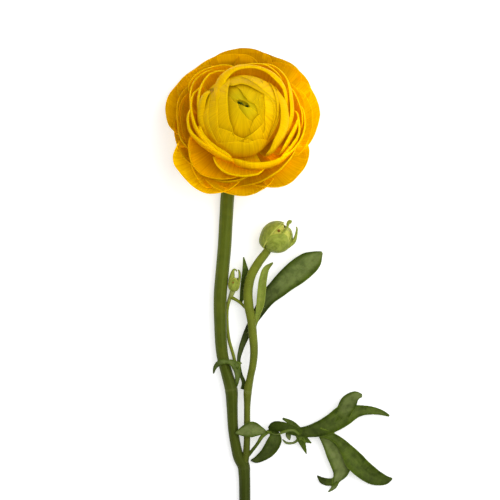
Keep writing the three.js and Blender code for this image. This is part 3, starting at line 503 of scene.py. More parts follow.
# The heart is a ball, a little flattened, of petals that close over each other. For each petal,
# edge lists bearings and how near the axis the free edge comes there (degrees), stand is how
# far it stands over the ball, lean how much more at its last corner, and lift raises the edge.
# Its deep shade is painted shade on it, and cover and reach set how strongly and how far its
# edge paints shade on those below.
heart = {
    "radius": 17.6, "up": 13.3, "down": 9.2, "middle": 13.2, "root": 112,
    # shade is how strong the painted shade is on the side away from the light
    "thick": 0.42, "rimThick": 0.2, "across": 60, "along": 30, "shade": 0.28,
    "wave": 0.5, "teethTurns": (31, 12), "ridge": 0.05, "ridgeTurns": 9,
    "greenSpan": (42, 10),  # degrees from the axis where the green fades in
    "coreDepth": 0.5, "coreSpan": (176, 16, 25), "sides": 64, "coreNumber": 40, "looseNumber": 30,
    "pit": [(3.4, 1.6), (1.6, 2.8), (0.3, 3)], "pitTint": 0.9,  # radius and depth of the eye's pit
    "coverShade": 0.5, "coverReach": 2.2, "coverSide": 6,  # painted shade under a covering edge, its reach and ends
    "dentAt": 318, "dentSpan": 30, "dent": 2.9,  # the ball is a little flat on one side
    # painted shade in the narrow slit beside the loose petal at the left
    "slitShade": {"edge": [(140, 47), (150, 53), (160, 57), (172, 59.5), (184, 61)], "cover": 1.7, "reach": 0.8},
    "petals": [
        {"edge": [(140, 14), (200, 4.6), (245, 3), (290, 5), (340, 12)], "stand": -0.15, "tint": 0.9,
         "wave": 1.8, "teeth": 0.9},
        {"edge": [(-35, 13), (20, 5), (65, 3.2), (110, 5.5), (160, 13)], "stand": 0, "tint": 0.9,
         "wave": 1.8, "teeth": 0.7},
        {"edge": [(150, 20), (172, 12), (194, 8), (240, 10), (256, 12), (276, 18), (289, 26), (299, 31),
             (312, 40)], "stand": 0.25, "tint": 0.35, "lift": 0.3},
        {"edge": [(-18, 26), (0, 12), (20, 8.5), (51, 8), (74, 10), (89, 13), (100, 22), (112, 34)],
         "stand": 0.35, "tint": 0.5, "lift": 0.3},
        {"edge": [(-34, 26), (-12, 18), (3, 14.5), (15, 17), (26, 21), (39, 27), (50, 36)], "stand": 0.4,
         "tint": 0.7, "lift": 0.25},
        {"edge": [(-40, 36), (-24, 28), (-2, 23), (12, 23), (28, 27), (44, 36)], "stand": 0.5, "tint": 0.6,
         "lift": 0.3},
        {"edge": [(284, 40), (299, 30.5), (313, 28), (330, 29.5), (341, 33), (354, 42)], "stand": 0.62,
         "tint": 0.3, "lift": 0.3},
        {"edge": [(-44, 38), (-28, 31), (-10, 28.5), (4, 28), (16, 31), (30, 40)], "stand": 0.7,
         "tint": 0.3, "lift": 0.3},
        {"edge": [(256, 66), (264, 57), (272, 52), (284, 48), (298, 45), (314, 43), (334, 38), (346, 46)],
         "stand": 0.95, "lean": -0.62, "lift": 0.35, "reach": 4.5},
        {"edge": [(-56, 60), (-44, 52), (-34, 40), (-20, 34), (-6, 31), (14, 30), (30, 34), (46, 42),
             (60, 54)], "stand": 1, "tint": 0.3, "lift": 0.45},
        {"edge": [(-38, 66), (-26, 56), (-12, 50), (0, 46), (10, 42), (22, 36), (33, 31), (45, 28.5),
             (61, 27.5), (80, 29), (98, 31), (108, 31), (117, 32), (132, 41)], "stand": 1.1, "tint": 0.2,
         "lift": 0.35, "deepShade": 0.08, "reach": 1},
        {"edge": [(-20, 68), (-6, 59), (8, 50), (21, 43), (37, 37), (55, 37), (69, 39.5), (83, 46),
             (98, 56)], "stand": 1.2, "tint": 0.1, "lift": 0.3},
        {"edge": [(112, 52), (119, 40), (132, 30), (150, 24), (171, 21), (205, 22), (222, 26), (236, 32),
             (249, 41), (256, 52)], "stand": 1.3, "tint": 0.1, "lift": 0.35},
        {"edge": [(210, 62), (219, 53), (226, 49), (236, 46), (246, 45), (256, 48), (266, 51), (276, 53),
             (292, 66)], "stand": 1.42, "lift": 0.2},
        {"edge": [(-44, 70), (-30, 62), (-8, 53), (7, 50), (24, 52), (39, 58), (52, 68)], "stand": 1.5,
         "lift": 0.4, "reach": 1},
        {"edge": [(128, 70), (137, 58), (149, 46), (160, 40), (170, 36.5), (184, 36), (198, 37.5),
             (210, 42), (219, 47), (228, 54), (238, 64)], "stand": 1.55, "lift": 0.1, "cover": 0.35,
         "deepShade": 0.08},
        {"edge": [(130, 72), (140, 62), (152, 54), (171, 51), (186, 52), (202, 57), (216, 62), (230, 70),
             (242, 80)], "stand": 1.75, "lift": 0.1, "cover": 0.35, "deepShade": 0.08},
        {"edge": [(-48, 76), (-22, 62), (-2, 59), (26, 62), (42, 72)], "stand": 1.75, "lift": 0.35},
        {"edge": [(222, 84), (236, 71), (250, 61.5), (265, 57), (277, 60.5), (294, 60), (303, 67),
             (312, 82)], "stand": 1.8, "cover": 0.3, "deepShade": 0.06},
    ],
    # the loose ones at the right and the left, made like the cup's petals
    "loose": [
        {"rim": [(298, 21.6), (302, 22.2), (307, 22.4), (314, 21.8), (325, 21.6), (337, 21.2), (346, 20.6),
             (356, 19.8), (369, 19.2), (381, 18.6), (396, 18), (410, 17.2)],
         "curl": [(298, 0.7), (302, 1.2), (309, 2), (318, 2.4), (330, 3.2), (340, 3.6), (356, 3.4),
             (382, 2.6), (410, 1.8)], "lifts": [(290, 0), (340, 0), (362, -0.6), (382, -2.2), (410, -4)],
         "tint": 0},
        {"rim": [(141, 15.9), (148, 17.8), (156, 18.8), (167, 19.3), (176, 19.6), (184, 19.9), (196, 20),
             (210, 19.7), (226, 18.8)],
         "curl": [(141, 0.8), (148, 1.9), (156, 2.5), (167, 2.8), (180, 3), (196, 3), (210, 2.6), (226, 2)],
         "lifts": [(141, -1.4), (150, -0.6), (174, -0.6), (186, -2.4), (196, -3.4), (226, -4.2)],
         "tint": 0}],
}
heartDice = np.random.default_rng(11)


def overBall(fromAxis, bearing, stand):
    tall = np.where(np.asarray(fromAxis) < 90, heart["up"], heart["down"])
    angle = np.radians(fromAxis)
    radius = (heart["radius"] + stand) * np.sin(angle)
    return roundAxis(radius, heart["middle"] + (tall + stand) * np.cos(angle), bearing)


# How far the ball's flat side lies in.
def dentIn(bearing, fromAxis):
    away = turnFrom(bearing, heart["dentAt"]) / heart["dentSpan"]
    return heart["dent"] * np.exp(-away ** 2) * np.sin(np.radians(fromAxis)) ** 2


# Painted shade: a petal is darker where it dives under the edges of those that cover it.
def paintedCoverShade(bearing, fromAxis, covers):
    shade = np.zeros(np.broadcast(bearing, fromAxis).shape)
    for cover in covers:
        first, last = cover["edge"][0][0], cover["edge"][-1][0]
        turn = (bearing - first) % 360
        span = last - first
        gap = heart["radius"] * np.radians(curveOf(cover["edge"], first + np.minimum(turn, span)) - fromAxis)
        within = ease(turn, 0, heart["coverSide"]) * ease(span - turn, 0, heart["coverSide"])
        reach = cover.get("reach", heart["coverReach"])
        shade = np.maximum(shade, within * cover.get("cover", 1) * np.exp(-np.maximum(gap, 0) / reach))
    return heart["coverShade"] * shade


def addHeartPetal(pile, number, petal):
    knots = np.array(petal["edge"], float)
    u, v = gridOf(heart["across"], heart["along"])
    v = v ** 0.8
    bearing = bearingsOf(knots, u)
    edge = curveOf(knots, bearing) + rimWaves(heartDice, petal.get("wave", heart["wave"]), 2 * u)
    fine, broad = heart["teethTurns"]
    edge = edge + petal.get("teeth", 0) * np.sin(fine * u) * np.sin(broad * u + 1)
    fromAxis = heart["root"] + (edge - heart["root"]) * v
    ridge = rimWaves(heartDice, heart["ridge"], heart["ridgeTurns"] * u) * v
    stand = petal["stand"] + petal.get("lean", 0) * u + petal.get("lift", 0) * v ** 8 + ridge
    middle = overBall(fromAxis, bearing, stand - dentIn(bearing, fromAxis))
    length = heart["radius"] * np.radians(fromAxis - edge)
    halfWidth = heart["radius"] * np.radians(knots[-1, 0] - knots[0, 0]) / 2 * np.sin(np.radians(fromAxis))
    rimGap = np.minimum(length, (1 - np.abs(u)) * halfWidth)
    place = placeAt(heart["radius"] * np.radians(bearing), length, number)
    green = petal.get("tint", 0) * ease(fromAxis, *heart["greenSpan"])
    covers = heart["petals"][number + 1:] + [heart["slitShade"]]
    # painted shade: away from the sunny side, under covering edges, and the petal's own deep shade
    shade = paintedSideShade(bearing, heart["shade"]) + paintedCoverShade(bearing, fromAxis, covers)
    shade = np.minimum(shade + petal.get("deepShade", 0), 1)
    addShell(pile, setBloom(middle), thinned(heart, rimGap), rimGap, place, green, shade)


def makeHeart():
    pile = newPile()
    core = ballOutline(heart, heart["coreDepth"], np.linspace(*heart["coreSpan"])) + [0, heart["middle"]]
    pit = [(radius, heart["middle"] + heart["up"] - depth) for radius, depth in heart["pit"]]
    addTurned(pile, [*core, *pit], heart["sides"], (0, 0, heart["coreNumber"]), heart["pitTint"])
    ball = pile["points"][0]
    turns = np.degrees(np.arctan2(ball[:, 1], ball[:, 0]))
    leans = np.degrees(np.arctan2(np.hypot(ball[:, 0], ball[:, 1]), ball[:, 2] - heart["middle"]))
    ball[:, :2] *= (1 - dentIn(turns, leans) / heart["radius"])[:, None]
    setBloomPile(pile)
    for number, petal in enumerate(heart["petals"]):
        addHeartPetal(pile, number, petal)
    for number, petal in enumerate(heart["loose"]):
        addBowlPetal(pile, heart["looseNumber"] + number, petal, cups)
    makePiece("heartPetals", pile, "heart", "heart_petal", "heart_petals")


# The green tips that show in the slit of the eye.
eye = {"count": 22, "spread": (2.6, 0.75), "turn": -27, "depth": 2.6, "height": 1.9, "radius": 0.32,
       "tipRadius": 0.06, "bend": 0.4, "sides": 8, "steps": 6, "seed": 5}


def makeEye():
    pile = newPile()
    dice = np.random.default_rng(eye["seed"])
    low = heart["middle"] + heart["up"] - eye["depth"]
    turn = math.radians(eye["turn"])
    for number in range(eye["count"]):
        across, along = dice.uniform(-1, 1, 2) * (eye["spread"][1], eye["spread"][0])
        x = along * math.cos(turn) - across * math.sin(turn)
        y = along * math.sin(turn) + across * math.cos(turn)
        high = low + eye["height"] * dice.uniform(0.5, 1.0)
        bend = dice.uniform(-eye["bend"], eye["bend"], 2)
        route = [(x, y, low - 1, eye["radius"]), (x, y, (low + high) / 2, eye["radius"]),
                 (x + bend[0], y + bend[1], high, eye["tipRadius"])]
        addTube(pile, route, eye["sides"], eye["steps"], number=number, tint=dice.uniform(0, 1))
    setBloomPile(pile)
    makePiece("eyeTips", pile, "eye", "leaf")


# Cup and guard petals. A strip gives the curve from the hub to the rim, in radius and height,
# for a rim of the usual radius, and how its guide points shift for each mm that it is wider.
# For each petal, rim lists bearings and the radius of the rim there, curl is how far the rim
# turns in, lifts how much higher it stands, fill and sink raise its middle and lower its rim.
# The layer's shade and each petal's side and deep shade paint shade on it away from the light and
# inside its rim, and a soft one has no pale rim.
bowls = {
    "ridge": 0.06, "ridgeTurns": 12, "tint": 0.3, "tintSpan": (16, 3), "deepShadeSpan": (2.2, 5.5), "softGap": 4,
    "sides": 32, "innerRadius": 0.2, "hubRound": (0.8, 0.6), "placeRadius": 30,
}
cups = {
    "strip": {"usualRim": 20, "root": (2.5, 2.45), "foot": (13, 1.9), "footShift": (0.25, 0),
              "belly": (23, 7), "bellyShift": (0.7, -0.2)},
    "thick": 0.42, "rimThick": 0.24, "across": 48, "along": 26, "waves": 0.25, "drop": 0, "shade": 0.35,
    "firstNumber": 0, "hub": (5.6, 1.5, 3.4),  # radius, bottom and top of the disc at the petals' feet
    "petals": [
        {"rim": [(196, 20.3), (210, 21.3), (220, 21.5), (234, 21.7), (246, 22), (258, 22)], "curl": 0.95},
        {"rim": [(0, 19.6), (17, 20.6), (26, 21.3), (33, 22.1), (42, 22.9), (51, 23.3), (60, 23.7),
             (68, 23.7), (77, 23.3), (86, 22.6), (100, 21.7), (113, 20.4), (125, 18.6), (137, 16.7),
             (148, 14.9), (158, 13.6), (170, 12.6), (182, 12), (194, 11.9), (208, 12.6), (220, 13.8)],
         "curl": [(0, 1.2), (17, 1.6), (33, 1.9), (45, 2.8), (60, 2.4), (70, 2.1), (86, 2.2), (100, 3.2),
             (113, 4.4), (125, 4.8), (137, 4.4), (148, 3.6), (158, 2.8), (170, 2), (194, 1.4), (220, 1)],
         "lifts": [(0, 0), (60, 0), (105, 0), (125, -1), (137, -2), (158, -1.6), (170, -1.7), (194, -2.3),
             (208, -3.2), (220, -4.2)], "tint": 0.8},
        {"rim": [(108, 22), (118, 23), (127, 24.2), (136, 23.5), (147, 22.4), (158, 21.2), (169, 20.2),
             (180, 19.6)], "curl": [(108, 0.5), (127, 0.7), (147, 0.9), (169, 0.8), (180, 0.6)], "fill": 3},
        {"rim": [(-24, 21.4), (-13, 21.7), (-4, 22), (8, 22.3), (18, 22.9), (28, 24.1), (37, 25.3),
             (44, 26.5), (51, 27.3), (59, 28.2), (66, 28), (74, 26.4), (82, 24.6)],
         "curl": [(-24, 0.6), (-13, 1.2), (3, 1.5), (17, 1.6), (29, 1.4), (40, 0.8), (50, 0.6), (82, 0.5)]},
        {"rim": [(44, 24.6), (56, 25.6), (67, 26.4), (75, 25.7), (86, 23.9), (99, 23), (108, 22)],
         "curl": 0.6},
        {"rim": [(140, 21.8), (148, 22.8), (155, 23.8), (165, 23.7), (175, 23.2), (186, 22.6), (199, 22.3),
             (209, 22.2), (230, 22.4), (250, 22.8)], "curl": 0.8, "fill": 3},
        {"rim": [(312, 24.6), (318, 24.5), (332, 24.2), (348, 24.4), (358, 24.4)],
         "curl": [(312, 0.6), (332, 1.2), (358, 0.6)], "deepShade": 0.45},
        {"rim": [(170, 22.8), (177, 23.8), (184, 24.6), (192, 25), (201, 25), (210, 24.3), (221, 23.5),
             (230, 23.1), (247, 23.2), (260, 23.2)], "curl": 0.9, "fill": 2.5},
        {"rim": [(257, 22.4), (262, 23.7), (270, 25.1), (278, 26.1), (286, 26.9), (295, 27.5), (304, 27.9),
             (312, 27.8), (319, 26.8), (325, 25)],
         "curl": [(257, 1.2), (270, 1.7), (285, 2.1), (300, 1.9), (312, 1.4), (325, 0.7)], "deepShade": 0.35},
        {"rim": [(116, 26), (129, 27.1), (138, 27.5), (147, 26.8), (156, 25.5), (166, 24), (174, 23.2)],
         "curl": 0.5},
        {"rim": [(348, 26.6), (356, 26.2), (363, 25.9), (370, 25.4), (378, 25), (386, 24.8), (396, 24.2)],
         "curl": 0.45},
        {"rim": [(302, 27.5), (314, 26.7), (326, 26.5), (340, 26.4), (346, 25.8), (353, 24.9), (360, 24.1),
             (367, 22.8)], "curl": 0.8, "deepShade": 0.4},
        {"rim": [(296, 27.6), (312, 27.5), (324, 27.7), (337, 28), (350, 27.7), (362, 27), (374, 26.2)],
         "curl": 0.5, "deepShade": 0.3},
        {"rim": [(94, 21.6), (99, 22.8), (104, 24.2), (112, 26.2), (120, 27.5), (129, 29.2), (140, 29.4),
             (150, 28.6)], "curl": 0.3},
        {"rim": [(237, 24.4), (242, 26.1), (248, 27.6), (255, 28.6), (263, 28.9), (270, 29.1), (277, 29),
             (284, 28.8), (291, 27.4)], "curl": 0.5, "tint": 0.75, "fill": 4.5},
        {"rim": [(202, 24.8), (208, 27), (213, 28.6), (223, 31.2), (231, 32.3), (238, 32.5), (244, 32),
             (251, 31.4), (257, 30.6), (266, 29.2)], "curl": 0.3, "tint": 0.25, "soft": True, "fill": 3.5},
        {"rim": [(148, 27.2), (165, 28.6), (174, 28.7), (193, 28.9), (206, 28.6)], "curl": 0.2,
         "soft": True, "sink": 2.5},
    ],
}
guards = {
    "strip": {"usualRim": 30, "root": (2.5, 0), "foot": (16, -0.6), "footShift": (0, 0),
              "belly": (29, 3), "bellyShift": (1, -0.25)},
    "thick": 0.45, "rimThick": 0.24, "across": 52, "along": 30, "waves": 0.7, "shade": 0.62,
    "drop": 4.5,  # how much lower they spread on the side that meets the floor
    "firstNumber": 40.5, "hub": (6.2, -1.3, 1.2),
    "petals": [
        {"rim": [(240, 30.2), (256, 31.4), (270, 31), (286, 31.3), (294, 30.9), (302, 30.5), (308, 30),
             (316, 29.2), (324, 28.4), (332, 27.6)], "curl": 0.3,
         "lifts": [(240, -7), (262, -6), (276, -3), (288, 0), (332, 0)]},
        {"rim": [(238, 30.6), (248, 31.4), (257, 31.5), (264, 30.8), (269, 29.9), (276, 28.4)], "curl": 0.2,
         "lifts": [(238, -4), (250, -1.5), (257, 0), (276, 0)]},
        {"rim": [(58, 26.5), (80, 28), (104, 28), (126, 27), (142, 26.5)], "curl": 0.1, "sink": 4},
        {"rim": [(8, 28), (30, 29), (52, 29), (74, 28), (88, 26.5)], "curl": 0.1, "sink": 4},
        {"rim": [(-34, 29.8), (-12, 30.4), (10, 30.8), (28, 30.6), (42, 30)], "curl": 0.1, "sink": 3,
         "soft": True, "tint": 1},
        {"rim": [(120, 28), (144, 28), (166, 27.5), (186, 27.5), (200, 27.5)], "curl": 0.1, "sink": 4,
         "soft": True},
        {"rim": [(140, 29), (152, 30), (165, 29.9), (175, 29.3), (188, 29.1), (197, 29.5), (206, 29.2),
             (216, 28)], "curl": 0.2, "tint": 0.1},
        {"rim": [(205, 27.4), (215, 28.7), (221, 30.6), (225, 31.8), (229, 32.9), (233, 33.9), (237, 34.9),
             (241, 35.4), (245, 35.4)], "curl": 0.1, "tint": 0.2, "sink": 1, "side": 0.3},
        {"rim": [(176, 30), (190, 30.8), (198, 31.2), (204, 31.4), (216, 31.6), (228, 31)], "tint": 0.15,
         "sink": 1.5, "soft": True},
        {"rim": [(74, 28.5), (79, 32), (84, 34.2), (92, 35.2), (100, 36), (108, 36.7), (114, 36.5),
             (120, 35.6), (128, 34.7), (136, 35), (144, 34.8), (154, 32.4), (160, 29.5)], "tint": 0.1,
         "deepShade": 0.6, "side": 1.1},
        {"rim": [(40, 35), (47, 36.8), (54, 37.8), (60, 37.6), (67, 37.1), (76, 38), (83, 38), (90, 36.4),
             (95, 33.5), (99, 30)], "tint": 0, "deepShade": 0.75, "side": 1.8},
        {"rim": [(238, 33), (248, 34.6), (258, 35.4), (266, 35.8), (274, 35.6), (282, 34.7), (290, 33.4),
             (296, 32)], "side": 0.7},
        {"rim": [(112, 33), (124, 34), (138, 34.9), (147, 34.7), (156, 35.5), (166, 35.1), (176, 33.9),
             (184, 32.8), (191, 30.8), (198, 29)], "tint": 0.1},
        {"rim": [(-26, 31.2), (-14, 32.2), (-5, 32.9), (5, 33.9), (17, 34.2), (30, 34.3), (42, 34)],
         "tint": 0.45},
        {"rim": [(276, 31.8), (288, 33.8), (297, 35.5), (306, 36), (314, 35.5), (320, 35.2), (329, 33.7),
             (336, 31.8), (340, 30.6)], "deepShade": 0.3, "side": 1.2},
        {"rim": [(198, 30), (204, 32.4), (208, 34.8), (213, 36.3), (220, 36.8), (228, 37.3), (239, 37.9),
             (247, 37.4), (251, 36.4), (257, 34.8), (264, 32), (270, 28.5)], "tint": 0.5, "side": 0.45},
        {"rim": [(24, 33.6), (34, 35.2), (43, 36.4), (50, 36.6), (58, 35.6), (70, 34.2)], "tint": 0,
         "side": 1.6},
        {"rim": [(64, 31), (70, 35.6), (76, 37.8), (82, 39.4), (90, 40), (98, 39.3), (108, 37.2), (114, 35),
             (119, 31)], "tint": 0, "deepShade": 0.95, "side": 1.4},
    ],
}
bowlDice = np.random.default_rng(23)


# The rolled rim: an arc that turns inwards from the way the petal is heading, of a given width.
def curledRim(ahead, rise, width):
    arc = np.linspace(0, 1, bloom["curlSteps"] + 1)[1:, None]
    heading = np.arctan2(rise, ahead) + math.radians(bloom["curlTurn"]) * (arc - 0.5 / bloom["curlSteps"])
    step = width / bloom["curlReach"] / bloom["curlSteps"]
    return arc, np.cumsum(step * np.cos(heading), axis=0), np.cumsum(step * np.sin(heading), axis=0)


def addBowlPetal(pile, number, petal, layer):
    knots = np.array(petal["rim"], float)
    strip = layer["strip"]
    u, t = gridOf(layer["across"], layer["along"])
    v = t * (1.4 - 0.4 * t)
    bearing = bearingsOf(knots, u)
    curl = petal.get("curl", 0)
    width = curveOf(curl, bearing) if isinstance(curl, list) else curl + 0 * bearing
    rim = curveOf(knots, bearing) - width
    drop = layer["drop"] * np.maximum(np.sin(np.radians(bearing)), 0)
    wider = rim - strip["usualRim"]
    foot, belly = ([strip[guide][k] + strip[guide + "Shift"][k] * wider for k in (0, 1)]
                   for guide in ("foot", "belly"))
    foot[1] = foot[1] + petal.get("fill", 0)
    belly[1] = belly[1] + petal.get("fill", 0) - bloom["bellyDropShare"] * drop
    top = bloom["rimHeightAt20"] - bloom["rimFall"] * (rim - 20) - drop
    reach = v * (1 - bloom["cornerCut"] * np.abs(u) ** 7)
    shares = ((1 - reach) ** 3, 3 * reach * (1 - reach) ** 2, 3 * reach ** 2 * (1 - reach), reach ** 3)
    arc, outward, upward = curledRim(rim - belly[0], top - belly[1], width * (1 - 0.5 * u ** 6))
    ends = (strip["root"], foot, belly, (rim - outward[-1], top - upward[-1]))
    radius, height = (sum(share * end[k] for share, end in zip(shares, ends)) for k in (0, 1))
    radius = np.concatenate([radius, radius[-1:] + outward])
    height = np.concatenate([height, height[-1:] + upward])
    v = np.concatenate([v, np.ones((len(arc), 1))])
    lift = (curveOf(petal["lifts"], bearing) if "lifts" in petal else 0) - petal.get("sink", 0)
    ripple = rimWaves(bowlDice, layer["waves"], 2 * u) * v ** 3
    ridge = rimWaves(bowlDice, bowls["ridge"], bowls["ridgeTurns"] * u) * v
    middle = roundAxis(radius + ridge, height + lift * v ** 3 + ripple, bearing)
    stepLength = np.linalg.norm(np.diff(middle, axis=0), axis=2)
    travelled = np.concatenate([np.zeros((1, u.size)), np.cumsum(stepLength, axis=0)])
    length = travelled[-1:] - travelled
    halfWidth = np.radians(knots[-1, 0] - knots[0, 0]) / 2 * radius
    rimGap = np.minimum(length, (1 - np.abs(u)) * halfWidth)
    place = placeAt(np.radians(bearing) * bowls["placeRadius"], length, layer["firstNumber"] + number)
    tint = petal.get("tint", bowls["tint"]) * ease(rimGap, *bowls["tintSpan"])
    # painted shade: darker away from the light and deep inside the rim
    shade = paintedSideShade(bearing, layer["shade"] * petal.get("side", 1))
    shade = np.clip(shade + petal.get("deepShade", 0) * ease(rimGap, *bowls["deepShadeSpan"]), 0, 1)
    shown = rimGap + bowls["softGap"] * petal.get("soft", False)
    addShell(pile, setBloom(middle, layer["thick"]), thinned(layer, rimGap), shown, place, tint, shade)


def makeBowl(name, layer, look, node):
    pile = newPile()
    radius, low, high = layer["hub"]
    inner = bowls["innerRadius"]
    inwards, upwards = bowls["hubRound"]
    addTurned(pile, [
        (inner, low), (radius - inwards, low), (radius, low + upwards), (radius, high - upwards),
        (radius - inwards, high), (inner, high)], bowls["sides"])
    setBloomPile(pile)
    for number, petal in enumerate(layer["petals"]):
        addBowlPetal(pile, number, petal, layer)
    makePiece(name, pile, look, "petal", node)


makeHeart()
makeEye()
makeBowl("cupPetals", cups, "cup", "cup_petals")
makeBowl("guardPetals", guards, "guard", "guard_petals")
print("bloom made:", len(heart["petals"]) + len(cups["petals"]) + len(guards["petals"]), "petals")


# The green base of the bloom with its sepals bent back.
calyx = {
    "base": [(0.2, -3.5), (2.9, -3.5), (3.5, -3.2), (5.7, -2), (5.6, -1.6), (0.2, -1.6)],
    "count": 5, "start": 3.2, "length": 9.6, "halfWidth": 3.7, "height": -2.35, "droop": 2.8,
    "thick": 0.4, "across": 16, "along": 22, "sides": 40, "wave": 0.15, "rib": 0.15, "ribWidth": 0.5,
    "seed": 3,
}


def makeCalyx():
    pile = newPile()
    addTurned(pile, calyx["base"], calyx["sides"])
    dice = np.random.default_rng(calyx["seed"])
    u, v = gridOf(calyx["across"], calyx["along"])
    for number in range(calyx["count"]):
        bearing = -90 + 360 * number / calyx["count"]
        wide = calyx["halfWidth"] * np.sin(math.pi * (0.09 + 0.9 * v)) ** 0.75
        radius = calyx["start"] + calyx["length"] * v
        height = (calyx["height"] - calyx["droop"] * v ** 2 - 0.5 * u * u * v
                  + calyx["rib"] * np.exp(-(u * wide / calyx["ribWidth"]) ** 2)
                  + rimWaves(dice, calyx["wave"], 3 * v))
        middle = roundAxis(radius, height, bearing) + roundAxis(u * wide, 0 * v, bearing + 90)
        rimGap = np.minimum((1 - np.abs(u)) * wide, (1 - v) * calyx["length"])
        place = placeAt(u * wide, v * calyx["length"], number)
        addShell(pile, middle, calyx["thick"], rimGap, place, 0.0)
    setBloomPile(pile)
    makePiece("calyxSepals", pile, "sepal", "sepal", "calyx")


makeCalyx()


# Stems: x, y, z and radius at points along the way.
bloomAxis = bloomTurn @ np.array([0, 0, 1])
neck = [tuple(np.array(bloom["base"]) + bloomAxis * height) + (2.9,) for height in (-6.4, -3.8)]
mainStem = {
    "route": [(-15.4, -103.8, 2.6, 2.45), (-15.4, -93, 2.6, 2.5), (-15.6, -84, 2.75, 2.6),
        (-15.9, -80.5, 2.8, 2.75), (-17.9, -77, 3, 2.5), (-19.4, -71.3, 3.2, 2.3), (-20.4, -65.1, 3.4, 2.3),
        (-21, -54, 3.7, 2.5), (-21.4, -46.6, 3.9, 2.85), (-23.2, -40, 4.1, 2.6), (-25.1, -32.6, 4.3, 2.6),
        (-26.2, -17, 4.4, 2.8), (-26.2, -4, 4.2, 2.92), (-25.5, 4, 3.9, 2.96), (-24.4, 16, 3.5, 3),
        (-23.6, 30, 3.2, 3), (-22.8, 41, 3.15, 3.05), (-21.1, 50, 3.15, 3.1), (-18.7, 58, 3.4, 3.05),
        (-16.8, 62.9, 4.3, 2.9), *neck],
    "sides": 40, "steps": 220, "ribs": (9, 0.018), "shades": (1, 0),
    # the hollow that shows at the cut, as shares of the ring and depths; its tint fades with depth
    "cut": [(0.94, -0.15), (0.5, 0.05), (1.1 / 2.45, 0.2), (0.42, 3)], "cutTint": (0.9, 0.25),
    "joints": [22.5, 58],  # mm from the cut, where the pale rings are
}
sideStem = {
    "route": [(-16, -82.5, 3, 1.7), (-15.5, -79.5, 3.3, 1.7), (-14.9, -76, 3.7, 1.55),
        (-14.5, -71, 4.1, 1.45), (-14.4, -64.2, 4.5, 1.45), (-14.3, -52.8, 5, 1.5),
        (-14.1, -47.5, 5.2, 1.85), (-12.9, -41, 5.7, 1.6), (-11.8, -35.6, 6.2, 1.65),
        (-11.3, -29.9, 6.7, 1.75), (-11.9, -22, 7, 1.9), (-12.5, -15.8, 7, 1.95), (-13.7, -9.2, 6.8, 2.1),
        (-13.9, -2.6, 6.6, 2.05), (-12.6, 3.5, 6.8, 2), (-9.3, 9.5, 7.2, 1.95), (-5.6, 14.4, 7.6, 1.75),
        (-4.6, 15.9, 7.8, 1.6)],
    "sides": 32, "steps": 150, "ribs": (7, 0.02), "shades": (0.85, 0), "joints": [35],
}
smallStalk = {
    "routes": [
        [(-20, -45.2, 3.9, 0.9), (-18.9, -42.5, 3.4, 0.85), (-20.2, -32.6, 2.4, 0.75),
         (-22.4, -24.6, 1.8, 0.75), (-23.2, -17.6, 1.5, 0.75), (-22.9, -9.4, 1.9, 0.8),
         (-21.9, -6, 2.7, 0.9), (-21.1, -4.2, 3.6, 1.15), (-20.7, -2.9, 4.1, 1.3), (-20.4, -2, 4.4, 1.2)],
        [(-21.7, -5.8, 3, 0.85), (-19.8, -6.7, 3.2, 0.74), (-17.8, -8, 3.2, 0.68), (-16.4, -9.2, 3.2, 0.62),
         (-15.3, -10.6, 3.4, 0.55)]],
    "paleSpan": (36, 42),  # mm along it, where the stalk turns pale under the bud
    "sides": 16, "steps": 70, "ribs": (5, 0.02),
}


# Pale rings round the joints of a stem.
def ringTint(joints, width=0.5, strength=0.5):
    return lambda places: strength * sum(np.exp(-((places - joint) / width) ** 2) for joint in joints)


def makeStem(name, stem, look, slot, node):
    pile = newPile()
    sides = stem["sides"]
    cut = stem.get("cut", [])
    first = addTube(pile, stem["route"], sides, stem["steps"], stem["ribs"], 1, ringTint(stem["joints"]),
                    stem["shades"], (not cut, 1))
    start = np.array(stem["route"][0][:3])
    ring = pile["points"][0][:sides] - start
    for share, depth in cut:
        level = start + ring * share + np.array([0, depth, 0])
        tint = stem["cutTint"][0] - stem["cutTint"][1] * max(depth, 0)
        here = addPoints(pile, level, 0, noRim, np.array([0.0, depth, 2.0]), tint)
        for i in range(sides):
            k = (i + 1) % sides
            pile["faces"].append([first + k, first + i, here + i, here + k])
        first = here
    if cut:
        pile["faces"].append([first + i for i in reversed(range(sides))])
    makePiece(name, pile, look, slot, node)


def makeSmallStalk():
    pile = newPile()
    for number, route in enumerate(smallStalk["routes"]):
        addTube(pile, route, smallStalk["sides"], smallStalk["steps"], smallStalk["ribs"], number,
                lambda places: ease(places, *smallStalk["paleSpan"]))
    makePiece("smallStalk", pile, "youngStem", "young_stem", "small_bud_stalk")


makeStem("mainStem", mainStem, "stem", "stem", "main_stem")
makeStem("sideStem", sideStem, "youngStem", "young_stem", "side_stem")
makeSmallStalk()
print("stems made")


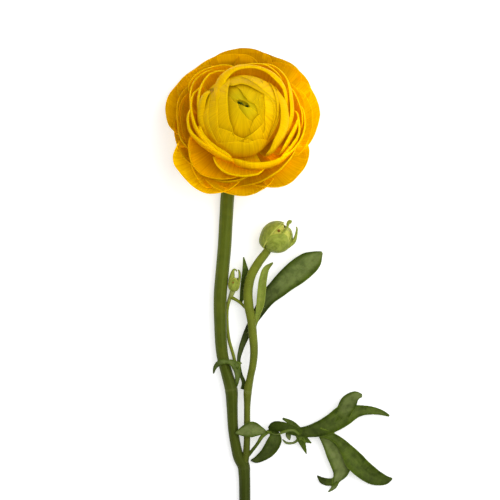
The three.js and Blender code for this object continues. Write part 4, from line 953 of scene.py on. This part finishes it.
# Blades: x, y, z and width left of the midrib at points along it, and where they differ the width
# right of it and the roll about it, in degrees. fold lifts both edges over the midrib, as a share
# of their width, pale and shade set the tones, and shadeSpan where along the blade shade changes.
# The upper leaf's shade is painted shade, darker towards its base; leftShade darkens it along its left edge.
upperLeaf = {
    "fold": 0.16, "thick": 0.42, "across": 26, "along": 120, "pale": 0.75, "shade": (0.8, 0),
    "shadeSpan": (0.45, 0.8), "leftShade": 1,
    "route": [(-16.4, -46.6, 4.4, 0.9), (-15.8, -44.2, 4.3, 0.9), (-17.3, -39.5, 4.2, 0.8),
        (-18, -33, 4, 0.85), (-17.1, -29, 3.6, 1.1), (-15.3, -24, 3.3, 1.5), (-12.8, -18.5, 3.2, 1.8),
        (-8.9, -11.9, 3.4, 2.5), (-4.8, -5.8, 3.9, 3.5, 3.5, 6), (-0.6, -1.9, 4.4, 4.3, 4.3, 8),
        (3.1, 1.5, 4.7, 4.9, 4.9, 8), (7.1, 4.7, 4.8, 5.4, 5.4, 6), (11, 7.8, 4.7, 5.3, 5.3, 4),
        (14.2, 10.4, 4.3, 4.4, 4.6), (16.8, 12.6, 3.8, 2.2, 2.9), (18.8, 14, 3.4, 0.5)],
}
lightBract = {
    "fold": 0.3, "thick": 0.36, "across": 16, "along": 60, "pale": 0.4, "shade": (0, 0.6),
    "shadeSpan": (0.85, 1),
    "route": [(-10.9, -18.9, 6.6, 0.6), (-9.6, -13.5, 6.9, 1.1), (-8.6, -9.2, 7.2, 1.7),
        (-7.9, -2.8, 7.6, 1.85), (-7.3, 2.2, 8, 1.75), (-5.8, 6.8, 8.1, 1.3), (-2.9, 9.4, 7.7, 0.3)],
}
darkBract = {
    "fold": 0.25, "thick": 0.36, "across": 14, "along": 50, "pale": 0.2, "shade": (0.3, 0),
    "route": [(-17.1, -8.1, 3.1, 0.6), (-16, -3, 3.3, 1.5), (-15, 4.2, 3.7, 1.7), (-15.4, 8.4, 4.8, 0.9),
        (-15.9, 11.8, 5.8, 0.25)],
}
claspingLeaf = {
    "thick": 0.5, "across": 16, "along": 60, "pale": 0.5, "blades": [
        {"fold": 0.15, "shade": (0, 0.6), "shadeSpan": (0.6, 0.95),
         "route": [(-18.9, -45.4, 5, 0.4), (-18.7, -42.6, 5.8, 1), (-18.6, -39.3, 7, 1.5),
             (-19.1, -36.6, 7.9, 2.1), (-20.8, -34.8, 8.4, 1.6), (-23.4, -34.2, 8.7, 1),
             (-26.2, -34.6, 8.4, 1.3), (-28.2, -36.4, 7.4, 1.1, 1.1, 20),
             (-29.2, -39.8, 5.8, 0.3, 0.3, 20)]},
        {"fold": 0.1, "route": [(-19.4, -36.6, 8, 1.6), (-18, -35.2, 8, 1.1), (-16.5, -34.8, 7.5, 0.3)]}],
}
lowerLeaf = {
    "thick": 0.55, "across": 18, "along": 60, "pale": 0.9, "petioleGrid": (16, 50),
    "petiole": [(-14.6, -76.6, 3, 1), (-12.6, -74.2, 3.3, 0.85), (-9.8, -70.6, 4.3, 0.8),
        (-7.4, -67, 5.1, 0.95), (-4.6, -65, 5.6, 0.9)],
    "blades": [
        # the small pale lobe that lies back over both stems
        {"fold": 0.12, "pale": 1,
         "route": [(-5.6, -65.6, 5.8, 0.6), (-8.6, -64.8, 6.6, 2.2), (-12.2, -64.2, 7.4, 3.6),
             (-15.4, -64.9, 7.3, 2.8), (-19.6, -65.9, 6.7, 0.3)]},
        # the drooping lobe below the petiole
        {"fold": 0.22, "pale": 0.4, "shade": (0.4, 0.6),
         "route": [(-2.2, -64.8, 5.6, 1.6), (-2, -68, 5.4, 3), (-3.8, -72.2, 4.2, 3.2),
             (-7.4, -76, 2.8, 2.3), (-11, -77.9, 1.9, 1.3), (-12.9, -78, 1.6, 0.3)]},
        # the humped lobe above it
        {"fold": -0.3, "pale": 0.1, "shade": (0.75, 0.35),
         "route": [(-4.6, -64.4, 5.8, 1.3), (-2.4, -62.9, 7.2, 2.2), (1.2, -63.1, 7.8, 2.3),
             (5.4, -64.5, 6.8, 2.2), (9.4, -66, 5.2, 1.9)]},
        # the thin lobe curled under it
        {"fold": 0.1, "pale": 1,
         "route": [(1.2, -68.6, 3.4, 0.3), (3, -70.2, 2.8, 0.6), (6.2, -70.2, 3, 0.6),
             (9.2, -67.4, 4.6, 0.8)]},
        # the pale rim that rolls over the hump
        {"fold": 0.1, "pale": 1,
         "route": [(-4.6, -65.7, 6.4, 0.25), (-1.2, -66.4, 7.5, 0.35), (1.8, -65.5, 8, 0.45),
             (4.1, -64.6, 8, 0.45), (6.5, -64.8, 7.2, 0.4), (8.5, -66.3, 5.8, 0.25)]},
        # three narrow teeth round the curl
        {"fold": 0.2, "pale": 0.1,
         "route": [(8.4, -66.8, 4.6, 1.6), (10.4, -71.2, 3.2, 1.3), (12, -75.4, 1.8, 0.25)]},
        {"fold": 0.2, "pale": 0.1,
         "route": [(10, -66.8, 4.4, 1.4), (12.2, -69.2, 3.6, 1.1), (14.2, -70.4, 3.2, 0.3)]},
        {"fold": 0.2, "pale": 0.3,
         "route": [(9, -65, 4.4, 1.4), (5.4, -61.6, 4.6, 1.3), (1.2, -59.3, 4.2, 0.5)]},
        {"fold": 0.1, "pale": 1,
         "route": [(3.6, -65.4, 4.4, 1.2), (4, -67.4, 4.2, 1.2), (4.5, -69.3, 3.9, 0.2)]},
        # the neck and the long upper lobe
        {"fold": 0.2, "pale": 0.3, "shade": (0.55, 0), "shadeSpan": (0.2, 0.5),
         "route": [(6.4, -65.2, 5, 1.6), (12, -65.2, 4.8, 2.6), (18.6, -63.6, 4.6, 3.7),
             (23.6, -61.2, 4.8, 4.3), (29.2, -57.6, 5.2, 4.6), (34.8, -56, 4.6, 2.6, 2.8),
             (41.2, -56, 3.4, 1.8), (46, -57.2, 2.3, 1.1), (48.6, -58.4, 1.8, 0.5)]},
        # its blunt side lobe
        {"fold": -0.12, "pale": 0.85, "fade": 0.5, "shade": (0, 0.15),
         "route": [(25.6, -61.2, 4.7, 3, 3.2), (28.2, -56.6, 5.8, 3.5, 3.4), (31, -51.9, 7, 3.7, 3.6),
             (33.9, -49.6, 7.2, 2.5, 2), (36.6, -49.2, 6.2, 0.7)]},
        # the broad lobe that hangs to the lower right
        {"fold": 0.22, "pale": 0.25, "shade": (0, 0.4), "shadeSpan": (0.55, 0.85),
         "route": [(17.6, -65.4, 4.4, 1.8), (22.4, -67, 4.7, 1.7), (25.9, -69, 4.9, 1.9),
             (29.9, -73, 4.9, 2.6, 3.7), (33.4, -77.1, 4.6, 3.4, 5.3), (37.2, -82, 3.8, 4.1, 4.4),
             (43, -85.8, 2.6, 3.4), (47.4, -86.6, 1.8, 1.9), (50, -86, 1.4, 0.4)]},
        # the pale lobe beside it, with its two points
        {"fold": 0.15, "pale": 1, "shade": (0.35, 0), "shadeSpan": (0.1, 0.3),
         "route": [(18.2, -66.2, 4.2, 1.5), (21.4, -70.6, 4.1, 2.6), (24.2, -75.2, 4, 4.2, 3.7),
             (26.6, -79.6, 3.7, 5.3, 4.2), (26.6, -83.4, 3, 3.8, 3.3), (25.2, -86.8, 2.1, 1.7, 1.8),
             (24.2, -89.6, 1.5, 1.1, 1.2), (21.4, -92.1, 1.2, 0.3)]},
        {"fold": 0.2, "pale": 0.3, "shade": (0.3, 0.8),
         "route": [(26.4, -85.6, 2, 1.5), (22.6, -87.6, 1.7, 1.7), (19.2, -87, 2, 1.6),
             (16.5, -84.6, 2.6, 0.3)]},
    ],
}
blades = {
    "voxel": 0.24, "smoothing": 14, "rib": 0.14, "ribWidth": 0.45, "wave": 0.18, "waveLength": 3.0,
    "paleSpan": (0.05, 0.6),  # share of the half width over which the pale tone begins
    "fade": 0.15, "shadeSpan": (0.2, 0.8),  # where a leaf gives none
}
leafDice = np.random.default_rng(31)


def bladeRow(x, y, z, left, right=None, roll=0):
    return x, y, z, left, left if right is None else right, roll


# The middle surface of a blade and its marks, on a grid from the root to the tip.
def bladeGrid(leaf, number):
    rows, ahead, places = alongRoute([bladeRow(*row) for row in leaf["route"]], leaf["along"])
    u = gridOf(leaf["across"], leaf["along"])[0]
    side = unit(np.stack([ahead[:, 1], -ahead[:, 0], np.zeros(len(ahead))], -1))
    up = np.cross(side, ahead)
    roll = np.radians(rows[:, 5])[:, None]
    side, up = side * np.cos(roll) + up * np.sin(roll), up * np.cos(roll) - side * np.sin(roll)
    wide = np.where(u < 0, rows[:, 3:4], rows[:, 4:5])
    wave = rimWaves(leafDice, blades["wave"], places[:, None] / blades["waveLength"]) * u ** 4
    groove = -blades["rib"] * np.exp(-(u * wide / blades["ribWidth"]) ** 2)
    raised = leaf["fold"] * wide * u * u + wave + groove
    middle = rows[:, None, :3] + side[:, None] * (u * wide)[..., None] + up[:, None] * raised[..., None]
    fade = leaf.get("fade", blades["fade"]) * places[-1]
    tint = leaf["pale"] * ease(1 - np.abs(u), *blades["paleSpan"]) * ease(places[:, None], 0, fade)
    share = places[:, None] / places[-1]
    # shade darkens the blade along its length and leftShade towards its left edge; on the upper leaf shade
    # is painted shade
    start, end = leaf.get("shade", (0, 0))
    shade = start + (end - start) * ease(share, *leaf.get("shadeSpan", blades["shadeSpan"]))
    shade = shade + leaf.get("leftShade", 0) * ease(np.linspace(0.6, -1, leaf["across"] + 1)) * share
    place = placeAt(u * wide, places[:, None], number)
    return middle, (1 - np.abs(u)) * wide, place, tint, np.clip(shade, 0, 1)


def makeBlade(name, leaf, look, slot, node):
    pile = newPile()
    middle, rimGap, place, tint, shade = bladeGrid(leaf, 1)
    addShell(pile, middle, thinEdge(leaf["thick"], rimGap), rimGap, place, tint, shade)
    makePiece(name, pile, look, slot, node)


# A leaf of several lobes is drawn as one skin over them all, and smoothed. Its marks come from
# the nearest point of the lobes.
def makeLobedLeaf(name, leaf, look, slot, node):
    pile, lobes = newPile(), newPile()
    for number, lobe in enumerate(leaf["blades"]):
        middle, rimGap, place, tint, shade = bladeGrid({**leaf, **lobe}, number)
        addShell(pile, middle, leaf["thick"], rimGap, place, tint)
        addPoints(lobes, middle, 0, rimGap, place, tint, shade)
    if "petiole" in leaf:
        addTube(pile, leaf["petiole"], *leaf["petioleGrid"])
    rough = bpy.data.objects.new(name + "Rough", meshOf(pile, name + "Rough"))
    bpy.context.scene.collection.objects.link(rough)
    skin = rough.modifiers.new("skin", "REMESH")
    skin.mode, skin.voxel_size = "VOXEL", blades["voxel"] * mm
    smooth = rough.modifiers.new("smooth", "SMOOTH")
    smooth.factor, smooth.iterations = 0.5, blades["smoothing"]
    mesh = bpy.data.meshes.new_from_object(rough.evaluated_get(bpy.context.evaluated_depsgraph_get()))
    bpy.data.objects.remove(rough)
    points = np.concatenate(lobes["points"])
    tree = KDTree(len(points))
    for k, point in enumerate(points):
        tree.insert(point, k)
    tree.balance()
    nearest = [tree.find(vertex.co / mm)[1] for vertex in mesh.vertices]
    for mark in ("rimGap", "tint", "shade", "place"):
        writeMark(mesh, mark, np.concatenate(lobes[mark])[nearest])
    mesh.shade_smooth()
    mesh.materials.clear()
    makePiece(name, mesh, look, slot, node)


makeBlade("upperLeaf", upperLeaf, "darkLeaf", "leaf", "upper_leaf")
makeBlade("lightBract", lightBract, "bract", "sepal", "light_bract")
makeBlade("darkBract", darkBract, "darkLeaf", "leaf", "dark_bract")
makeLobedLeaf("claspingLeaf", claspingLeaf, "darkLeaf", "leaf", "clasping_leaf")
makeLobedLeaf("lowerLeaf", lowerLeaf, "leaf", "leaf", "lower_leaf")
print("leaves made")


# The buds, each upright on its own axis, with bearing 90 on the side that turns up. Their petals
# and sepals run from root to edge, both in degrees from the tip, and to corner at their sides.
buds = {
    "petalRoot": 104, "sepalRoot": 150, "rib": 0.12, "ribWidth": 0.18, "pouchAt": 148, "pouchSpan": 22,
    "sides": 32, "tubeSides": 12, "scarSides": 16,
    "coreSpan": (176, 4, 24), "scarSpan": (170, 10, 9),  # from foot to tip in degrees, and rings
}
largeBud = {
    "middle": (-1.3, 20.5, 8.6), "axis": (0.6, 0.79, 0.14), "radius": 5.6, "up": 5.8, "down": 5.2,
    "petals": [{"at": 20 + 72 * k, "half": 50, "edge": 14, "corner": 34, "stand": 0.8, "lean": 0.12}
               for k in range(5)],
    "sepals": [
        {"at": 184, "half": 66, "edge": 8, "corner": 36, "stand": 1.6, "shade": 0.12, "root": 168,
         "pouch": 1.1},
        {"at": 293, "half": 52, "edge": 53, "corner": 90, "stand": 1.65},
        {"at": 356, "half": 33, "edge": 16, "corner": 62, "stand": 1.45, "shade": 0.1},
        {"at": 60, "half": 42, "edge": 24, "corner": 70, "stand": 1.35},
        {"at": 108, "half": 34, "edge": 30, "corner": 70, "stand": 1.5}],
    "seat": [(0.2, -6.9), (1.5, -6.85), (2.3, -6.6), (3, -6.1), (3.6, -5.4), (3.2, -5), (1.6, -5.5),
        (0.2, -5.6)],
    # the keel that runs up from the front sepal to the hook over the tip, and the hook at the right
    "tubes": [
        [(0.5, -6.9, 1.9, 0.3), (0.8, -6.3, 3.6, 0.42), (1, -4.5, 5.8, 0.45), (0.8, -2.4, 7.3, 0.6),
         (0.2, -1.2, 8.5, 0.8), (0.4, -0.9, 9.2, 0.95), (1.2, -0.8, 9.5, 0.7)],
        [(5.6, -1.4, -1.8, 1), (6.4, -1.2, 1, 1.15), (7, -1, 3.4, 0.95), (6.3, -0.8, 5.8, 0.66),
         (5.4, -0.6, 7.6, 0.5), (4.6, -0.6, 8.8, 0.38), (3.9, -0.6, 9.1, 0.25)]],
    "scar": (-1, -5.45, 3.7), "scarRadius": 0.68,
    "thick": 0.42, "petalThick": 0.4, "coreDepth": 0.3, "grid": (20, 24),
    "tubeSteps": 24, "firstTube": 9, "tubeShades": (0, 0),
}
smallBud = {
    "middle": (-20.15, -0.2, 4.6), "axis": (0.08, 1, 0.1), "radius": 2.2, "up": 3.2, "down": 3,
    "sepals": [{"at": 30 + 120 * k, "half": 62, "edge": 34, "corner": 76, "stand": 0.5} for k in range(3)],
    "tubes": [
        [(-1.2, 0.2, -0.5, 1.2), (-1.35, 0, 1.6, 1.3), (-1.1, 0, 3.6, 1.15), (-0.95, 0, 5.2, 0.85),
         (-0.5, 0, 6.5, 0.5), (0.2, 0, 6.6, 0.38), (0.8, 0, 5.8, 0.28)],
        [(1.5, 0.2, -0.5, 0.9), (2.1, 0, 1.6, 0.72), (2.25, 0, 3.6, 0.58), (2.1, 0, 5, 0.55),
         (1.7, 0, 6.2, 0.42), (1.2, 0, 6.6, 0.22)]],
    "scar": (-0.35, -2.5, 1), "scarRadius": 0.45,
    "thick": 0.3, "coreDepth": 0.1, "grid": (14, 16),
    "tubeSteps": 20, "firstTube": 7, "tubeShades": (0, 0.25),
}


def budTurn(bud):
    axis = unit(np.array(bud["axis"], float))
    right = unit(np.cross(axis, [0, 0, 1]))
    return np.stack([right, np.cross(axis, right), axis], -1)


def addBudLeaves(pile, bud, leaves, root, thick):
    u, v = gridOf(*bud["grid"])
    for number, leaf in enumerate(leaves):
        foot = leaf.get("root", root)
        edge = leaf["edge"] + (leaf["corner"] - leaf["edge"]) * u * u
        fromAxis = foot + (edge - foot) * v
        bearing = leaf["at"] + leaf["half"] * u * (0.9 + 0.1 * np.sin(math.pi * v))
        stand = leaf["stand"] - thick / 2 + leaf.get("lean", 0) * u
        pouch = np.exp(-((fromAxis - buds["pouchAt"]) / buds["pouchSpan"]) ** 2)
        stand = stand + leaf.get("pouch", 0) * pouch
        stand = stand + buds["rib"] * np.exp(-(u / buds["ribWidth"]) ** 2)
        angle = np.radians(fromAxis)
        tall = np.where(fromAxis < 90, bud["up"], bud["down"])
        middle = roundAxis((bud["radius"] + stand) * np.sin(angle), (tall + stand) * np.cos(angle), bearing)
        length = bud["radius"] * np.radians(fromAxis - edge)
        halfWidth = bud["radius"] * np.radians(leaf["half"]) * np.sin(angle)
        rimGap = np.minimum(length, (1 - np.abs(u)) * halfWidth)
        place = placeAt(bud["radius"] * np.radians(bearing), length, number)
        addShell(pile, middle, thinEdge(thick, rimGap), rimGap, place, 0.0, leaf.get("shade", 0))


def addBudCore(pile, bud):
    addTurned(pile, ballOutline(bud, bud["coreDepth"], np.linspace(*buds["coreSpan"])), buds["sides"])


def addBudSepals(pile, bud):
    addBudLeaves(pile, bud, bud["sepals"], buds["sepalRoot"], bud["thick"])
    if "seat" in bud:
        addTurned(pile, bud["seat"], buds["sides"])
    for number, tube in enumerate(bud["tubes"], bud["firstTube"]):
        addTube(pile, tube, buds["tubeSides"], bud["tubeSteps"], number=number, shades=bud["tubeShades"])


def placeBud(pile, bud):
    pile["points"] = [points @ budTurn(bud).T + np.array(bud["middle"]) for points in pile["points"]]


def makeBuds():
    petals, sepals, small = newPile(), newPile(), newPile()
    addBudCore(petals, largeBud)
    addBudLeaves(petals, largeBud, largeBud["petals"], buds["petalRoot"], largeBud["petalThick"])
    addBudSepals(sepals, largeBud)
    placeBud(petals, largeBud)
    placeBud(sepals, largeBud)
    makePiece("budPetals", petals, "budPetal", "bud_petal", "bud_petals")
    makePiece("budSepals", sepals, "sepal", "sepal", "bud_sepals")
    addBudCore(small, smallBud)
    addBudSepals(small, smallBud)
    placeBud(small, smallBud)
    makePiece("smallBud", small, "sepal", "sepal", "small_bud")


# The little brown scars on the buds.
def makeScars():
    pile = newPile()
    for bud in (largeBud, smallBud):
        part = newPile()
        radius = bud["scarRadius"]
        ball = {"radius": radius, "up": radius, "down": radius}
        addTurned(part, ballOutline(ball, 0, np.linspace(*buds["scarSpan"])), buds["scarSides"])
        place = budTurn(bud) @ np.array(bud["scar"]) + np.array(bud["middle"])
        first = addPoints(pile, part["points"][0] + place, 0, noRim, np.array([0.0, 0.0, 5.0]), 0.0)
        pile["faces"] += [[first + k for k in face] for face in part["faces"]]
    makePiece("budScars", pile, "scar", "sepal")


makeBuds()
makeScars()
print("buds made")


# Fine pale hairs on the young green parts, set on points of the pieces picked by seeded dice.
hairs = {
    "on": {"sideStem": 420, "budSepals": 260, "calyxSepals": 160, "smallBud": 50, "lightBract": 50},
    "length": (0.45, 1.0), "radius": 0.035, "rootDepth": 0.05, "sweep": 0.5, "seed": 17,
}


def makeHairs():
    pile = newPile()
    hairFaces = ((0, 1, 3), (1, 2, 3), (2, 0, 3), (2, 1, 0))
    dice = np.random.default_rng(hairs["seed"])
    turns = np.radians([0, 120, 240])
    for name, count in hairs["on"].items():
        vertices = bpy.data.objects[name].data.vertices
        for k in dice.integers(0, len(vertices), count):
            root = np.array(vertices[k].co) / mm
            ahead = unit(np.array(vertices[k].normal) + hairs["sweep"] * dice.uniform(-1, 1, 3))
            side = unit(np.cross(ahead, [0.3, 0.2, 1.0]))
            ring = np.outer(np.cos(turns), side) + np.outer(np.sin(turns), np.cross(ahead, side))
            tip = root + ahead * dice.uniform(*hairs["length"])
            points = np.concatenate([root - hairs["rootDepth"] * ahead + ring * hairs["radius"], [tip]])
            first = addPoints(pile, points, 0, noRim, np.array([0.0, 0.0, float(k)]), 1.0)
            pile["faces"] += [[first + a for a in face] for face in hairFaces]
    makePiece("fineHairs", pile, "budPetal", "young_stem")


makeHairs()
print("hairs made:", sum(hairs["on"].values()))


# The floor, the light and the camera, which is far off with a long lens.
studio = {
    "floorSize": 8.0, "floorGlow": 0.48, "skyStrength": 0.45,
    "floorColour": (0.8, 0.8, 0.8, 1.0), "floorRoughness": 0.9, "floorGloss": 0.1,
    # name, where the light comes from, strength and softness in degrees
    "suns": [("keyLight", (0.5, 0.15, 0.9), 1.95, 55), ("fillLight", (-0.7, 0.2, 0.7), 0.4, 60)],
    "cameraHeight": 3.0, "photoCentre": (-13.07, 14.96), "photoWidth": 220.0, "sharpHeight": 15.0,
    "sensorWidth": 36, "clipEnd": 50,
}
white = (1.0, 1.0, 1.0, 1.0)


def makeFloor(scene):
    half = studio["floorSize"] / 2
    z = -floorGap * mm
    mesh = bpy.data.meshes.new("floor")
    corners = [(-half, -half, z), (half, -half, z), (half, half, z), (-half, half, z)]
    mesh.from_pydata(corners, [], [(0, 1, 2, 3)])
    floor = bpy.data.objects.new("floor", mesh)
    scene.collection.objects.link(floor)
    paint = bpy.data.materials.new("floorPaper")
    paint.use_nodes = True
    shader = paint.node_tree.nodes["Principled BSDF"]
    shader.inputs["Base Color"].default_value = studio["floorColour"]
    shader.inputs["Roughness"].default_value = studio["floorRoughness"]
    shader.inputs["Specular IOR Level"].default_value = studio["floorGloss"]
    shader.inputs["Emission Color"].default_value = white
    shader.inputs["Emission Strength"].default_value = studio["floorGlow"]
    mesh.materials.append(paint)


def makeLight(scene):
    world = bpy.data.worlds.new("studioSky")
    world.use_nodes = True
    world.node_tree.nodes["Background"].inputs["Color"].default_value = white
    world.node_tree.nodes["Background"].inputs["Strength"].default_value = studio["skyStrength"]
    scene.world = world
    scene.view_settings.view_transform = "Standard"
    for name, origin, strength, softness in studio["suns"]:
        sun = bpy.data.lights.new(name, "SUN")
        sun.energy, sun.angle = strength, math.radians(softness)
        lamp = bpy.data.objects.new(name, sun)
        lamp.rotation_euler = Vector(origin).to_track_quat("Z", "Y").to_euler()
        scene.collection.objects.link(lamp)


def makeCamera(scene):
    lens = bpy.data.cameras.new("camera")
    lens.sensor_width = studio["sensorWidth"]
    away = studio["cameraHeight"] / mm - studio["sharpHeight"]
    lens.lens = studio["sensorWidth"] * away / studio["photoWidth"]
    lens.clip_end = studio["clipEnd"]
    camera = bpy.data.objects.new("camera", lens)
    camera.location = (studio["photoCentre"][0] * mm, studio["photoCentre"][1] * mm, studio["cameraHeight"])
    scene.collection.objects.link(camera)
    scene.camera = camera


makeFloor(bpy.context.scene)
makeLight(bpy.context.scene)
makeCamera(bpy.context.scene)
print("studio made")
